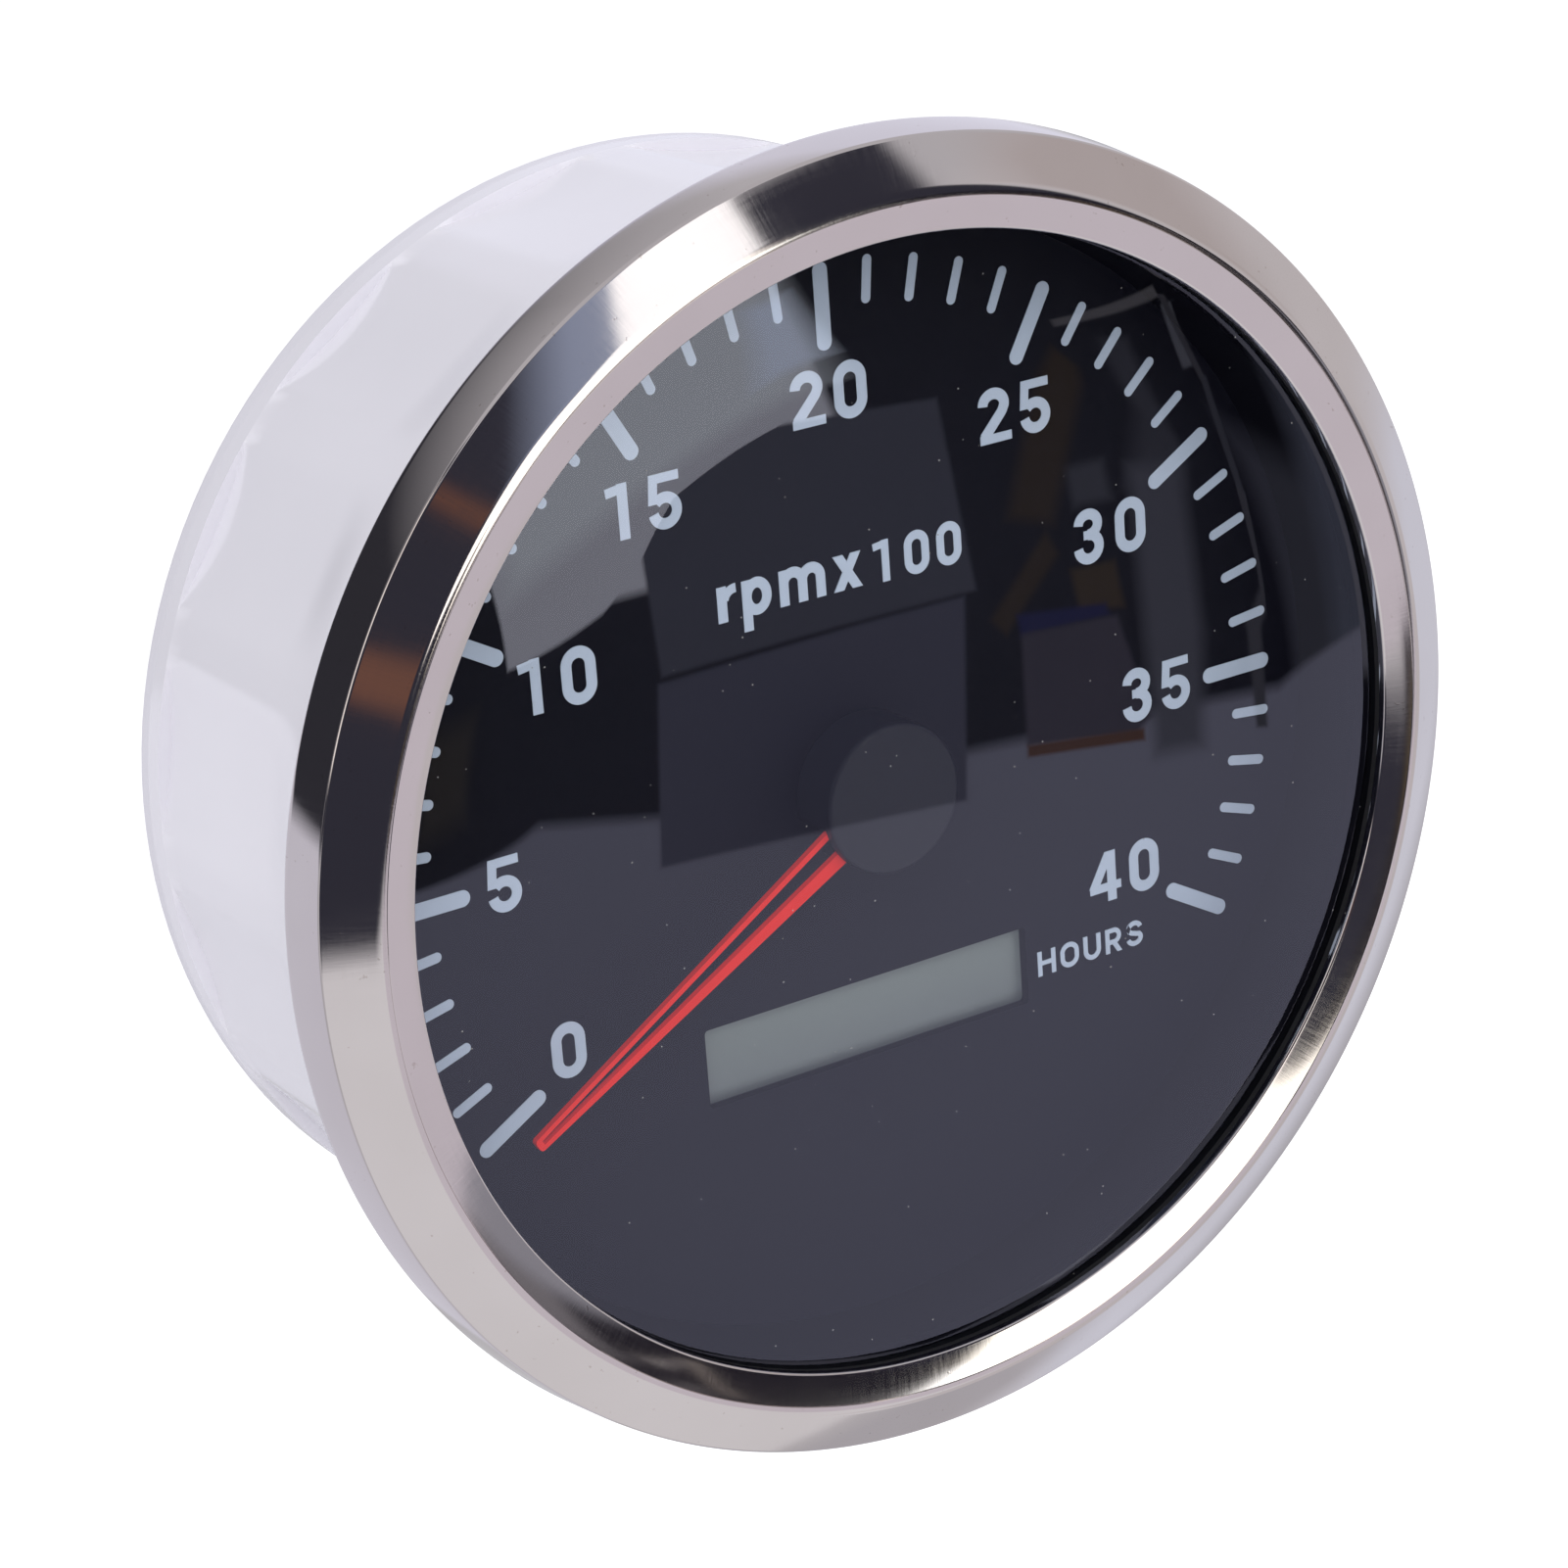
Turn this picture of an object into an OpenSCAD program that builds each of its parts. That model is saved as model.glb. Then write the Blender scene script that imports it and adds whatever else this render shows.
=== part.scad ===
// Panel tachometer for a boat, 85 mm class, with an hour counter.
// The panel's front face is the plane y = 0 and the dial looks along -Y. Millimetres, +Z up.
// Each piece is drawn with +Z towards the viewer and the panel at z = 0, and facing_out() turns it round.

/* [Bezel] */
// Outside diameter of the bezel
bezel_d = 95; // [93:0.5:98]
// Width of the bezel's face, from the outside to the opening
face_w = 6.8; // [6.6:0.1:7.2]
// How much the skirt narrows towards the bevel, on the radius
skirt_draft = 0.4; // [0.2:0.1:0.6]
// Height of the skirt in front of the panel
skirt_h = 4.3; // [4.1:0.1:4.6]
// Height of the crest in front of the panel
crest_h = 6.2; // [6:0.1:6.6]
// Width of the flat lip inside the crest
lip_w = 2.5; // [2.2:0.1:2.8]
// Depth of the crease between the crest and the lip
crease_depth = 0.2; // [0.1:0.05:0.3]
// Fall of the lip from the crease to the opening
lip_fall = 0.3; // [0.2:0.05:0.5]
// Thickness of the rolled sheet
sheet_t = 0.7; // [0.5:0.1:0.8]
// How far the bezel reaches past the case, on the radius
overhang = 5.3; // [5:0.1:5.6]

/* [Lens and dial] */
// Height of the lens's face in front of the panel
lens_h = 4.75; // [4.6:0.05:4.8]
// Thickness of the lens
lens_t = 2.6; // [2.4:0.1:2.8]
// Width of the band in which the lens curves down to its edge
dome_w = 9.2; // [8:0.2:12]
// How far the lens curves down
dome_fall = 0.35; // [0.2:0.05:0.5]
// Depth from the back of the lens to the face of the dial
dial_well = 6.25; // [6.15:0.05:6.6]
// Thickness of the dial plate
dial_t = 0.8; // [0.5:0.1:1]
// Thickness of the spacer ring at the lens
spacer_top_t = 0.4; // [0.3:0.1:0.6]
// Thickness of the spacer ring at the dial
spacer_foot_t = 0.5; // [0.4:0.1:0.8]
// Diameter of the hole in the dial for the shaft
dial_hole_d = 4.4; // [4:0.1:5]

/* [Scale] */
// Distance from the opening's edge to the outer ends of the marks
scale_margin = 3.1; // [2.8:0.1:3.6]
// Length of a long mark
long_mark = 6.2; // [5:0.1:7]
// Width of a long mark
long_mark_w = 1.2; // [1:0.05:1.4]
// Length of a short mark
short_mark = 3.4; // [3:0.1:4]
// Width of a short mark
short_mark_w = 0.75; // [0.6:0.05:0.9]
// Thickness of the print
print_t = 0.05; // [0.03:0.01:0.1]
// Spaces between the first and the last mark
scale_steps = 40; // [20:5:60]
// Spaces from one long mark to the next
long_every = 5; // [5:5:10]
// Angle from the first mark to the last
scale_sweep = 240; // [210:5:270]

/* [Hour counter] */
// Width of the window
window_w = 28; // [24:1:30]
// Height of the window
window_h = 6; // [5:0.5:7]
// Depth of the window's centre below the shaft
window_drop = 18.1; // [17.5:0.1:19]
// Width of the display's glass
glass_w = 33; // [31:0.5:34]
// Height of the display's glass
glass_h = 11; // [10:0.5:11.5]
// Thickness of the display's glass
glass_t = 2.4; // [2:0.1:2.8]
// Width of the contact ledge along the display's lower edge
ledge_w = 1.5; // [1:0.1:2]
// Wall of the display's holder
holder_wall = 1.4; // [1:0.1:1.6]
// Width of a contact strip
strip_w = 1.6; // [1.2:0.1:2]
// Distance from the end of a contact strip to the end of the glass
strip_end = 1; // [0.5:0.5:2]

/* [Pointer] */
// Distance from the pointer's tip to the outer ends of the marks
tip_margin = 2.6; // [1:0.1:5]
// Height of the pointer's underside over the dial
pointer_lift = 3.7; // [3.6:0.1:3.9]
// Thickness of the pointer
blade_t = 0.5; // [0.4:0.1:0.6]
// Width of the pointer where it leaves the cap
blade_root_w = 3.2; // [2.8:0.1:3.6]
// Width of the pointer at its tip
blade_tip_w = 1; // [0.9:0.1:1.4]
// Width of the slot at the cap
slot_root_w = 1.45; // [0.8:0.05:1.5]
// Width of the slot at the tip
slot_tip_w = 0.35; // [0.2:0.05:0.4]
// How far the slot sits off the pointer's middle at the cap
slot_offset = 0.28; // [0:0.02:0.3]
// Solid end of the pointer in front of the slot
tip_solid = 0.5; // [0.3:0.1:1]
// Diameter of the cap
cap_d = 11; // [10.5:0.1:12]
// Thickness of the cap's top
cap_top_t = 0.8; // [0.6:0.1:0.8]
// Wall of the cap
cap_wall = 0.85; // [0.7:0.05:1]
// Height of the cap's lower edge over the dial
cap_lift = 0.9; // [0.6:0.1:1.2]
// Diameter of the pointer's hub under the cap
hub_d = 3.6; // [3:0.1:4]
// Diameter of the shaft
shaft_d = 1.5; // [1.2:0.1:1.6]

/* [Case] */
// Thickness of the case's wall in front of the shelf
front_wall_t = 1; // [0.9:0.1:1.2]
// Thickness of the case's wall behind the shelf
wall_t = 2.2; // [2:0.1:2.4]
// Thickness of the neck that carries the flange for the bezel
neck_t = 1; // [0.8:0.1:1.2]
// Depth from the panel to the back of the case
case_len = 30.6; // [30.2:0.1:34]
// How much the case narrows from the flutes to its back, on the radius
case_draft = 0.15; // [0.1:0.05:0.3]
// Width of the rim round the lens
rim_w = 1.65; // [1.4:0.05:1.8]
// Height of the rim in front of the panel
rim_h = 3.3; // [3:0.1:3.4]
// Number of flutes round the case
flute_count = 16; // [12:1:18]
// Width of the ridge between two flutes
ridge_w = 3.7; // [3:0.1:5]
// Depth of a flute in its middle
flute_depth = 0.95; // [0.7:0.05:1.1]
// Depth from the panel to the front end of the flutes
flute_front = 10.1; // [9:0.1:12]
// Length over which a flute runs out at its front end
flute_runout = 3; // [2:0.1:4]
// Height of the plain band behind the flutes
rear_band = 1.6; // [1.2:0.1:3]

/* [Rear cover] */
// Thickness of the rear cover
cover_t = 1.4; // [1.2:0.1:2]
// Depth that the cover's locating ring enters the case
locating_depth = 2; // [1.5:0.1:3]
// Thickness of the locating ring
locating_t = 1.3; // [1:0.1:1.6]
// Distance from the case's bore to the centre of a cover screw
boss_inset = 3.1; // [3:0.1:3.6]
// Diameter of a cover screw
cover_screw_d = 3; // [2.5:0.1:3]
// Length of a cover screw under its head
cover_screw_len = 10; // [8:0.5:12]
// Diameter of the bosses for the cover screws
cover_boss_d = 5.6; // [5:0.1:5.8]
// Length of the bosses for the cover screws
cover_boss_len = 13; // [12.5:0.5:15]
// Distance between the mounting studs
stud_spacing = 56; // [50:1:58]
// Diameter of a mounting stud
stud_d = 4; // [3:0.5:5]
// How much thicker a stud is where it is pressed into its boss, on the radius
shank_step = 0.25; // [0.2:0.05:0.4]
// Length of a stud behind the rear cover
stud_len = 14; // [10:1:16]
// Width of a stud's hexagon head across its corners
stud_head_d = 8; // [7.2:0.1:8.4]
// Height of a stud's head
stud_head_h = 2.4; // [2:0.1:3]
// Diameter of the boss that holds a stud
stud_boss_d = 10.4; // [10:0.2:12]
// Height of the boss that holds a stud
stud_boss_h = 5; // [4.5:0.1:6]

/* [Light guide, frame and circuit board] */
// Thickness of the light guide
guide_t = 3; // [2.5:0.1:3.2]
// Gap between the inner frame's skirt and the case's bore
frame_gap = 0.4; // [0.3:0.1:0.6]
// Thickness of the inner frame's skirt
frame_wall_t = 1.6; // [1.4:0.1:2]
// Thickness of the inner frame's rim
frame_rim_t = 1.7; // [1.5:0.1:2]
// Depth from the light guide to the circuit board
led_space = 4.2; // [4:0.1:4.6]
// Diameter of a screw post
post_d = 5.2; // [4.8:0.1:6]
// Distance from the inner frame's skirt to the centre of a screw post
post_inset = 4; // [3.4:0.1:5]
// Thickness of the webs that carry the screw posts
web_t = 1.6; // [1.2:0.1:2]
// Gap between the circuit board and the case's bore
board_gap = 1; // [0.8:0.1:1.3]
// Thickness of the circuit board
board_t = 1.6; // [1.2:0.1:1.6]
// Diameter of a board screw
board_screw_d = 2.5; // [2:0.1:2.5]
// Length of a board screw under its head
board_screw_len = 5; // [4:0.1:5]
// Radius of the circle of lamps
led_radius = 26; // [24:0.5:28]
// Length of a lamp along its circle
led_w = 3.5; // [3:0.1:3.6]
// Height of a lamp in front of the board
led_h = 1.9; // [1.5:0.1:2]
// Side of the microcontroller
chip_w = 10; // [8:0.5:10]
// Thickness of the microcontroller
chip_t = 1.4; // [1:0.1:1.6]
// Diameter of the capacitor
capacitor_d = 8; // [6:0.5:9]
// Height of the capacitor
capacitor_h = 9; // [7:0.5:9.5]
// Width of the voltage regulator
regulator_w = 6.5; // [5:0.5:7]
// Thickness of the voltage regulator
regulator_t = 2.3; // [1.8:0.1:2.6]

/* [Connector] */
// Width of the connector's body
socket_w = 25; // [24:0.5:26]
// Height of the connector's body
socket_h = 11; // [10.5:0.1:12]
// Wall of the connector's body
socket_wall = 1.8; // [1.5:0.1:2]
// Length of the connector behind the rear cover
socket_out = 8.5; // [8:0.5:12]
// Depth of the cavity from its mouth to its floor
socket_depth = 13; // [12.5:0.1:13.5]
// Thickness of the cavity's floor
socket_floor = 2; // [1.5:0.1:3]
// Width of the flange round the connector
socket_flange = 1.9; // [1.5:0.1:2]
// Thickness of the flange
socket_flange_t = 1.6; // [1.2:0.1:2]
// Distance from the case's bore to the connector's centre
socket_inset = 12; // [11.5:0.1:12.5]
// Distance between the pins along a row
pin_pitch = 4.2; // [3.8:0.1:4.4]
// Distance between the two rows of pins
row_pitch = 3; // [2.6:0.1:3.2]
// Side of a pin
pin_w = 0.8; // [0.6:0.1:1]
// Length of the pins in the cavity
pin_reach = 6.5; // [5:0.1:7]

/* [Movement] */
// Module of the gear teeth
gear_module = 0.18; // [0.17:0.005:0.185]
// Teeth on each of the two pinions
pinion_teeth = 10; // [10:1:12]
// Teeth on the output wheel
output_teeth = 72; // [68:1:74]
// Teeth on the middle wheel
middle_teeth = 60; // [56:1:61]
// Distance from the shaft to the rotor
rotor_distance = 11.5; // [11.3:0.1:11.8]
// Thickness that each flank gives up for backlash
flank_slack = 0.02; // [0.01:0.005:0.03]
// Room between the output wheel and the rear shell
wheel_room = 1.2; // [0.8:0.1:2]
// Room between the yoke and the rear shell
yoke_room = 1.2; // [0.4:0.1:2]
// Depth of the movement
movement_t = 9; // [9:0.1:9.5]
// Thickness of the front shell's plate
front_plate_t = 1; // [0.8:0.1:1]
// Wall of the rear shell
shell_wall = 0.8; // [0.6:0.1:0.9]
// Diameter of the bearing tube round the shaft
bearing_d = 3.6; // [3.4:0.1:3.8]
// Length of the bearing tube in front of the movement
bearing_len = 5.3; // [4:0.1:5.6]
// Diameter of the small pivots
pivot_d = 0.8; // [0.7:0.05:0.9]
// Thickness of the output wheel
output_wheel_t = 0.8; // [0.6:0.1:0.9]
// Thickness of the middle wheel
middle_wheel_t = 0.7; // [0.5:0.1:0.8]
// Radius at which the stop lug turns
stop_radius = 4; // [3.5:0.1:4.5]
// Diameter of the rotor's magnet
magnet_d = 6; // [5.5:0.1:6.2]
// Length of the rotor's magnet
magnet_t = 2.6; // [2.2:0.1:2.7]
// Diameter of the rotor's spindle in the magnet
spindle_d = 1.6; // [1.4:0.1:1.8]
// Gap between the magnet and the stator
air_gap = 0.4; // [0.3:0.05:0.5]
// Outside diameter of the stator's ring
stator_ring_d = 9.8; // [9.4:0.1:10]
// Width of the stator's legs
leg_w = 2.8; // [2.4:0.1:3]
// Thickness of the stator plate
stator_t = 1; // [0.8:0.1:1]
// Width of the tab at each end of the stator
tab_w = 2; // [1.8:0.1:2.4]
// Height of the yoke over the rotor
yoke_rise = 5.9; // [5.8:0.1:6.4]
// Width of the yoke
yoke_w = 2; // [1.6:0.1:2.4]
// Thickness of the yoke
yoke_t = 0.8; // [0.6:0.1:1]
// Height of the terminals over the rotor
terminal_rise = 4.3; // [4.2:0.1:4.4]
// Side of a terminal pin
terminal_w = 0.5; // [0.4:0.05:0.6]
// Width of a bobbin's flange along the leg
flange_t = 0.8; // [0.7:0.1:0.9]
// Length of a bobbin
bobbin_len = 6.8; // [6.2:0.1:6.8]
// Wall of a bobbin's tube
bobbin_wall = 0.4; // [0.3:0.05:0.5]
// Thickness of the winding on a bobbin
winding_t = 0.8; // [0.6:0.05:0.8]

/* [Clearances] */
// Gap between parts that are only laid in place
loose_gap = 0.1; // [0.05:0.05:0.15]
// Gap on the radius between a shaft and its bearing
running_gap = 0.04; // [0.02:0.01:0.06]
// Gap between the skirt's inside and the case's flange
flange_gap = 0.45; // [0.42:0.01:0.6]
// Gap between a pin or screw and the hole that it passes through
hole_gap = 0.1; // [0.05:0.05:0.15]

/* [Hidden] */
$fn = 96;

// Cuts run this far past the face that they open
past = 1;

// Bezel section
bezel_r = bezel_d / 2;
bevel_r = bezel_r - skirt_draft;
opening_r = bezel_r - face_w;
crest_r = opening_r + lip_w;
crease_r = crest_r - crease_depth;
crease_z = crest_h - crease_depth;
lip_z = crease_z - lip_fall;
bevel_slope = (crest_h - skirt_h) / (bevel_r - crest_r);
bevel_drop = sheet_t * sqrt(1 + bevel_slope * bevel_slope);
lip_slope = lip_fall / (crease_r - opening_r);
function under_bevel(r) = crest_h - bevel_drop - (r - crest_r) * bevel_slope;
function under_lip(r) = lip_z - sheet_t + (r - opening_r) * lip_slope;
inner_crest_r = (crest_h - bevel_drop + crest_r * bevel_slope - lip_z + sheet_t
    + opening_r * lip_slope) / (bevel_slope + lip_slope);

// Case section, across the gauge
case_r = bezel_r - overhang;
case_back_r = case_r - case_draft;
front_bore_r = case_r - front_wall_t;
case_bore_r = case_r - wall_t;
flange_r = bezel_r - sheet_t - flange_gap;
rebate_r = flange_r - rim_w;
neck_r = case_r + neck_t;
curl_r = neck_r + loose_gap;
lens_r = rebate_r - 2 * loose_gap;
disc_r = front_bore_r - loose_gap;
frame_r = case_bore_r - frame_gap;
frame_bore_r = frame_r - frame_wall_t;
board_r = case_bore_r - board_gap;
scale_r = opening_r - scale_margin;
pointer_len = scale_r - tip_margin;

// Face of the lens: flat in the middle, then a curve down to the seat of the gasket
dome_r = opening_r - loose_gap;
lens_rim_z = lens_h - dome_fall;
dome_points = [for (i = [0:8]) [dome_r - dome_w * i / 8, lens_h - dome_fall * pow(1 - i / 8, 2)]];

// Levels along the axis, from the lens to the back
lens_back = lens_h - lens_t;
dial_face = lens_back - dial_well;
dial_back = dial_face - dial_t;
guide_back = dial_back - guide_t;
shelf_z = guide_back - frame_rim_t;
board_front = guide_back - led_space;
board_back = board_front - board_t;
case_back = -case_len;
cover_back = case_back - cover_t;
ledge_z = case_back + rear_band;

// Levels of the pointer
blade_back = dial_face + pointer_lift;
blade_front = blade_back + blade_t;
cap_back = dial_face + cap_lift;
cap_front = blade_front + cap_top_t;

// Flutes: each is a shallow cylinder whose axis runs along the case
flute_half_angle = 180 / flute_count - asin(ridge_w / 2 / case_r);
flute_half_w = case_r * sin(flute_half_angle);
flute_rise = flute_depth - case_r * (1 - cos(flute_half_angle));
flute_r = (flute_half_w * flute_half_w + flute_rise * flute_rise) / (2 * flute_rise);
flute_axis_r = case_r - flute_depth + flute_r;
// The first ridge stands this far round from the +X side
ridge_start = 2;

// Screws
cover_screw_angles = [30, 150, 210, 330];
cover_screw_radius = case_bore_r - boss_inset;
post_places = [for (a = [45:90:315]) (frame_bore_r - post_inset) * [cos(a), sin(a)]];
head_ratio = 1.85;
head_h_ratio = 0.6;
boss_web_t = 2;
// How far a web runs into the wall that it stands on
web_root = 0.4;

// Display
glass_back = dial_back - glass_t;
holder_size = [glass_w, glass_h] + [1, 1] * 2 * (loose_gap + holder_wall);
window_centre = [0, -window_drop];

// Connector
socket_size = [socket_w, socket_h];
cavity = socket_size - [1, 1] * 2 * socket_wall;
mouth_z = cover_back - socket_out;
floor_z = mouth_z + socket_depth;
socket_centre = [0, socket_inset - case_bore_r];
pin_places = [for (x = [-1.5:1.5], y = [-0.5, 0.5]) socket_centre + [x * pin_pitch, y * row_pitch]];
flange_size = socket_size + [1, 1] * 2 * socket_flange;
latch_size = [6, 1.6];
latch_len = 2;

// Places on the circuit board, and the half diagonal of a square over its side
chip_at = [22, -12];
lead_pitch = 0.8;
lead_w = 0.4;
lead_t = 0.3;
lead_out = 1;
regulator_at = [-22, 12];
tab_out = 1.2;
tab_t = 0.5;
capacitor_at = [-22, -9];
bead_z = 1.5;
bead_depth = 0.35;
led_angles = [-15:42:195];
half_diagonal = 0.71;

// Gear train: output wheel at the centre, then the middle wheel, then the rotor
addendum = 0.6 * gear_module;
dedendum = 0.85 * gear_module;
output_centres = gear_module * (output_teeth + pinion_teeth) / 2;
middle_centres = gear_module * (middle_teeth + pinion_teeth) / 2;
rotor_at = [0, rotor_distance];
middle_lift = (output_centres * output_centres - middle_centres * middle_centres
    + rotor_distance * rotor_distance) / (2 * rotor_distance);
middle_at = [sqrt(output_centres * output_centres - middle_lift * middle_lift), middle_lift];
output_line = atan2(middle_at.y, middle_at.x);
rotor_line = atan2(rotor_at.y - middle_at.y, rotor_at.x - middle_at.x);

// Levels of the movement
movement_back = board_back - movement_t;
plate_back = board_back - front_plate_t;
floor_front = movement_back + shell_wall;
lug_h = 0.8;
lug_size = [1.4, 0.9];
stop_angle = 21;
hub_play = 0.2;
wheel_gap = 0.3;
bush_wall = 0.75;
output_front = plate_back - lug_h - 2 * hub_play;
output_back = output_front - output_wheel_t;
middle_front = output_back - wheel_gap;
middle_back = middle_front - middle_wheel_t;
stator_back = floor_front + 1.5;
stator_front = stator_back + stator_t;
leg_z = (stator_back + stator_front) / 2;
magnet_back = leg_z - magnet_t / 2;
magnet_front = leg_z + magnet_t / 2;
pivot_depth = 0.5;
pivot_play = 0.05;
bush_depth = 1;
hub_step = 0.3;
peg_d = 2;
peg_inset = 3.1;
pin_end = board_front + 0.6;

// Coils
bobbin_start = stator_ring_d / 2 + 5 * loose_gap;
bobbin_end = bobbin_start + bobbin_len;
tube_size = [leg_w, stator_t] + [1, 1] * 2 * (loose_gap / 2 + bobbin_wall);
coil_size = tube_size + [1, 1] * 2 * winding_t;
bobbin_size = coil_size + [1, 1] * 3 * loose_gap;
tab_start = bobbin_end + 2 * loose_gap;
tab_end = tab_start + tab_w;
yoke_y = rotor_distance + yoke_rise;
stator_post_r = 0.9;
terminal_y = rotor_distance + terminal_rise;
terminals = [for (side = [-1, 1], x = [bobbin_start, bobbin_end - flange_t]) side * (x + flange_t / 2)];

// Outline of the movement, round what it holds
movement_x = tab_end + 4 * loose_gap + shell_wall;
movement_low = gear_module * output_teeth / 2 + addendum + wheel_room + shell_wall;
movement_high = yoke_y + yoke_w + yoke_room + shell_wall;
peg_places = [for (side = [-1, 1]) [side * (movement_x - peg_inset), peg_inset - movement_low]];

// Turns a piece drawn towards +Z so that it faces out of the panel, along -Y
module facing_out() {
    rotate([90, 0, 0]) children();
}

// Corner points of a polygon, each [x, y, corner radius], with the corners rounded
function unit(v) = v / norm(v);
function corner(a, b, c, r, n) = r == 0 ? [b] :
    let (u = unit(a - b), v = unit(c - b), half = acos(u * v) / 2,
         centre = b + unit(u + v) * r / sin(half),
         p = b + u * r / tan(half) - centre, q = b + v * r / tan(half) - centre,
         start = atan2(p.y, p.x), turn = (atan2(q.y, q.x) - start + 540) % 360 - 180)
    [for (i = [0:n]) centre + r * [cos(start + turn * i / n), sin(start + turn * i / n)]];
function xy(p) = [p.x, p.y];
function rounded(pts, n = 4) = let (m = len(pts)) [for (i = [0:m - 1])
    each corner(xy(pts[(i + m - 1) % m]), xy(pts[i]), xy(pts[(i + 1) % m]), pts[i].z, n)];

module ring_section(pts) {
    rotate_extrude() polygon(rounded(pts));
}

// Flat outline with rounded corners, centred
module plate(size, r) {
    x = size.x / 2;
    y = size.y / 2;
    polygon(rounded([[-x, -y, r], [x, -y, r], [x, y, r], [-x, y, r]]));
}

// A straight prism or cylinder between two levels
module between(z0, z1) {
    translate([0, 0, min(z0, z1)]) linear_extrude(abs(z1 - z0)) children();
}

module disc(z0, z1, r) {
    between(z0, z1) circle(r);
}

// Flat web along +X from a boss to a wall
module web(boss_edge, wall_r, t) {
    translate([boss_edge - web_root, -t / 2]) square([wall_r - boss_edge + 2 * web_root, t]);
}

// Gear outline: stub involute teeth, with the first tooth centred at the angle start
function flank_angle(r, base) = r <= base ? 0 :
    let (t = acos(base / r)) tan(t) * 180 / PI - t;
module gear(teeth, start) {
    pitch_r = gear_module * teeth / 2;
    base = pitch_r * cos(20);
    radii = [pitch_r - dedendum, max(pitch_r - addendum / 2, base), pitch_r, pitch_r + addendum];
    thick = 90 / teeth - flank_slack / pitch_r * 180 / PI + flank_angle(pitch_r, base);
    polygon([for (k = [0:teeth - 1], side = [-1, 1], i = [0:3])
        let (r = radii[side < 0 ? i : 3 - i],
             a = start + 360 * k / teeth + side * (thick - flank_angle(r, base)))
        r * [cos(a), sin(a)]]);
}

module screw(d, length) {
    disc(0, length, d / 2);
    rotate([180, 0, 0]) ring_section([[0, 0, 0], [d / 2 * head_ratio, 0, 0],
        [d / 2 * head_ratio, d * head_h_ratio, d * 0.3], [0, d * head_h_ratio, 0]]);
}

// Bezel: one sheet from the lip over the crest and down the bevel and the skirt, curled in at the back
module bezel() {
    color("#c9c4c2") facing_out() ring_section([
        [curl_r, 0, 0.15], [bezel_r, 0, 0.65], [bezel_r, sheet_t + 0.2, 0], [bevel_r, skirt_h, 0.3],
        [crest_r, crest_h, 0.12], [crease_r, crease_z, 0], [opening_r, lip_z, 0.2],
        [opening_r, lip_z - sheet_t, 0.1], [inner_crest_r, under_lip(inner_crest_r), 0],
        [bevel_r - sheet_t, under_bevel(bevel_r - sheet_t), 0],
        [bezel_r - sheet_t, sheet_t, 0], [curl_r, sheet_t, 0.15]]);
}

module lens_gasket() {
    inner = opening_r + loose_gap;
    color("#17171a") facing_out() rotate_extrude() polygon([
        [inner, lens_rim_z], [lens_r, lens_rim_z], [lens_r, under_bevel(lens_r)],
        [inner_crest_r, under_lip(inner_crest_r)], [inner, under_lip(inner)]]);
}

module lens() {
    bevel = 0.2;
    color("#cfd8dc", 0.3) facing_out() rotate_extrude() polygon(concat([
        [0, lens_back], [lens_r - bevel, lens_back], [lens_r, lens_back + bevel],
        [lens_r, lens_rim_z - bevel], [lens_r - bevel, lens_rim_z]], dome_points, [[0, lens_h]]));
}

module spacer_ring() {
    color("#101014") facing_out() rotate_extrude() polygon([
        [disc_r - spacer_foot_t, dial_face], [disc_r, dial_face],
        [disc_r, lens_back], [disc_r - spacer_top_t, lens_back]]);
}

module dial() {
    color("#24242c") facing_out() between(dial_back, dial_face) difference() {
        circle(disc_r);
        circle(dial_hole_d / 2);
        translate(window_centre) plate([window_w, window_h], 0.3);
    }
}

// One mark with round ends, along +X from its outer end inwards
module mark(length, width) {
    end = scale_r - width / 2;
    translate([end - length + width, -width / 2]) square([length - width, width]);
    translate([end, 0]) circle(width / 2, $fn = 24);
    translate([end - length + width, 0]) circle(width / 2, $fn = 24);
}

module scale_marks() {
    color("#b4bfcc") facing_out() between(dial_face, dial_face + print_t)
        for (i = [0:scale_steps]) rotate(90 + scale_sweep / 2 - scale_sweep * i / scale_steps)
            if (i % long_every == 0)
                mark(long_mark, long_mark_w);
            else
                mark(short_mark, short_mark_w);
}

module light_guide() {
    color("#dfe6ea", 0.6) facing_out() between(guide_back, dial_back) difference() {
        circle(disc_r);
        circle(dial_hole_d / 2 + loose_gap);
        translate(window_centre) plate(holder_size + [1, 1] * 4 * loose_gap, 1);
    }
}

// Frame between the light guide and the circuit board, on the shelf in the case
module inner_frame() {
    color("#eceae4") facing_out() difference() {
        union() {
            rotate_extrude() polygon([
                [frame_bore_r, guide_back], [disc_r, guide_back], [disc_r, shelf_z],
                [frame_r, shelf_z], [frame_r, board_front], [frame_bore_r, board_front]]);
            for (p = post_places) {
                translate(p) disc(board_front, guide_back, post_d / 2);
                rotate(atan2(p.y, p.x)) between(board_front, guide_back)
                    web(norm(p) + post_d / 2, frame_bore_r, web_t);
            }
        }
        for (p = post_places) translate(p)
            disc(board_front - past, board_back + board_screw_len, board_screw_d / 2 + running_gap);
    }
}

module lcd_holder() {
    color("#1c1c20") facing_out() translate(window_centre) between(board_front, dial_back) difference() {
        plate(holder_size, 0.8);
        plate([glass_w, glass_h] + [1, 1] * 2 * loose_gap, 0.2);
    }
}

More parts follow.
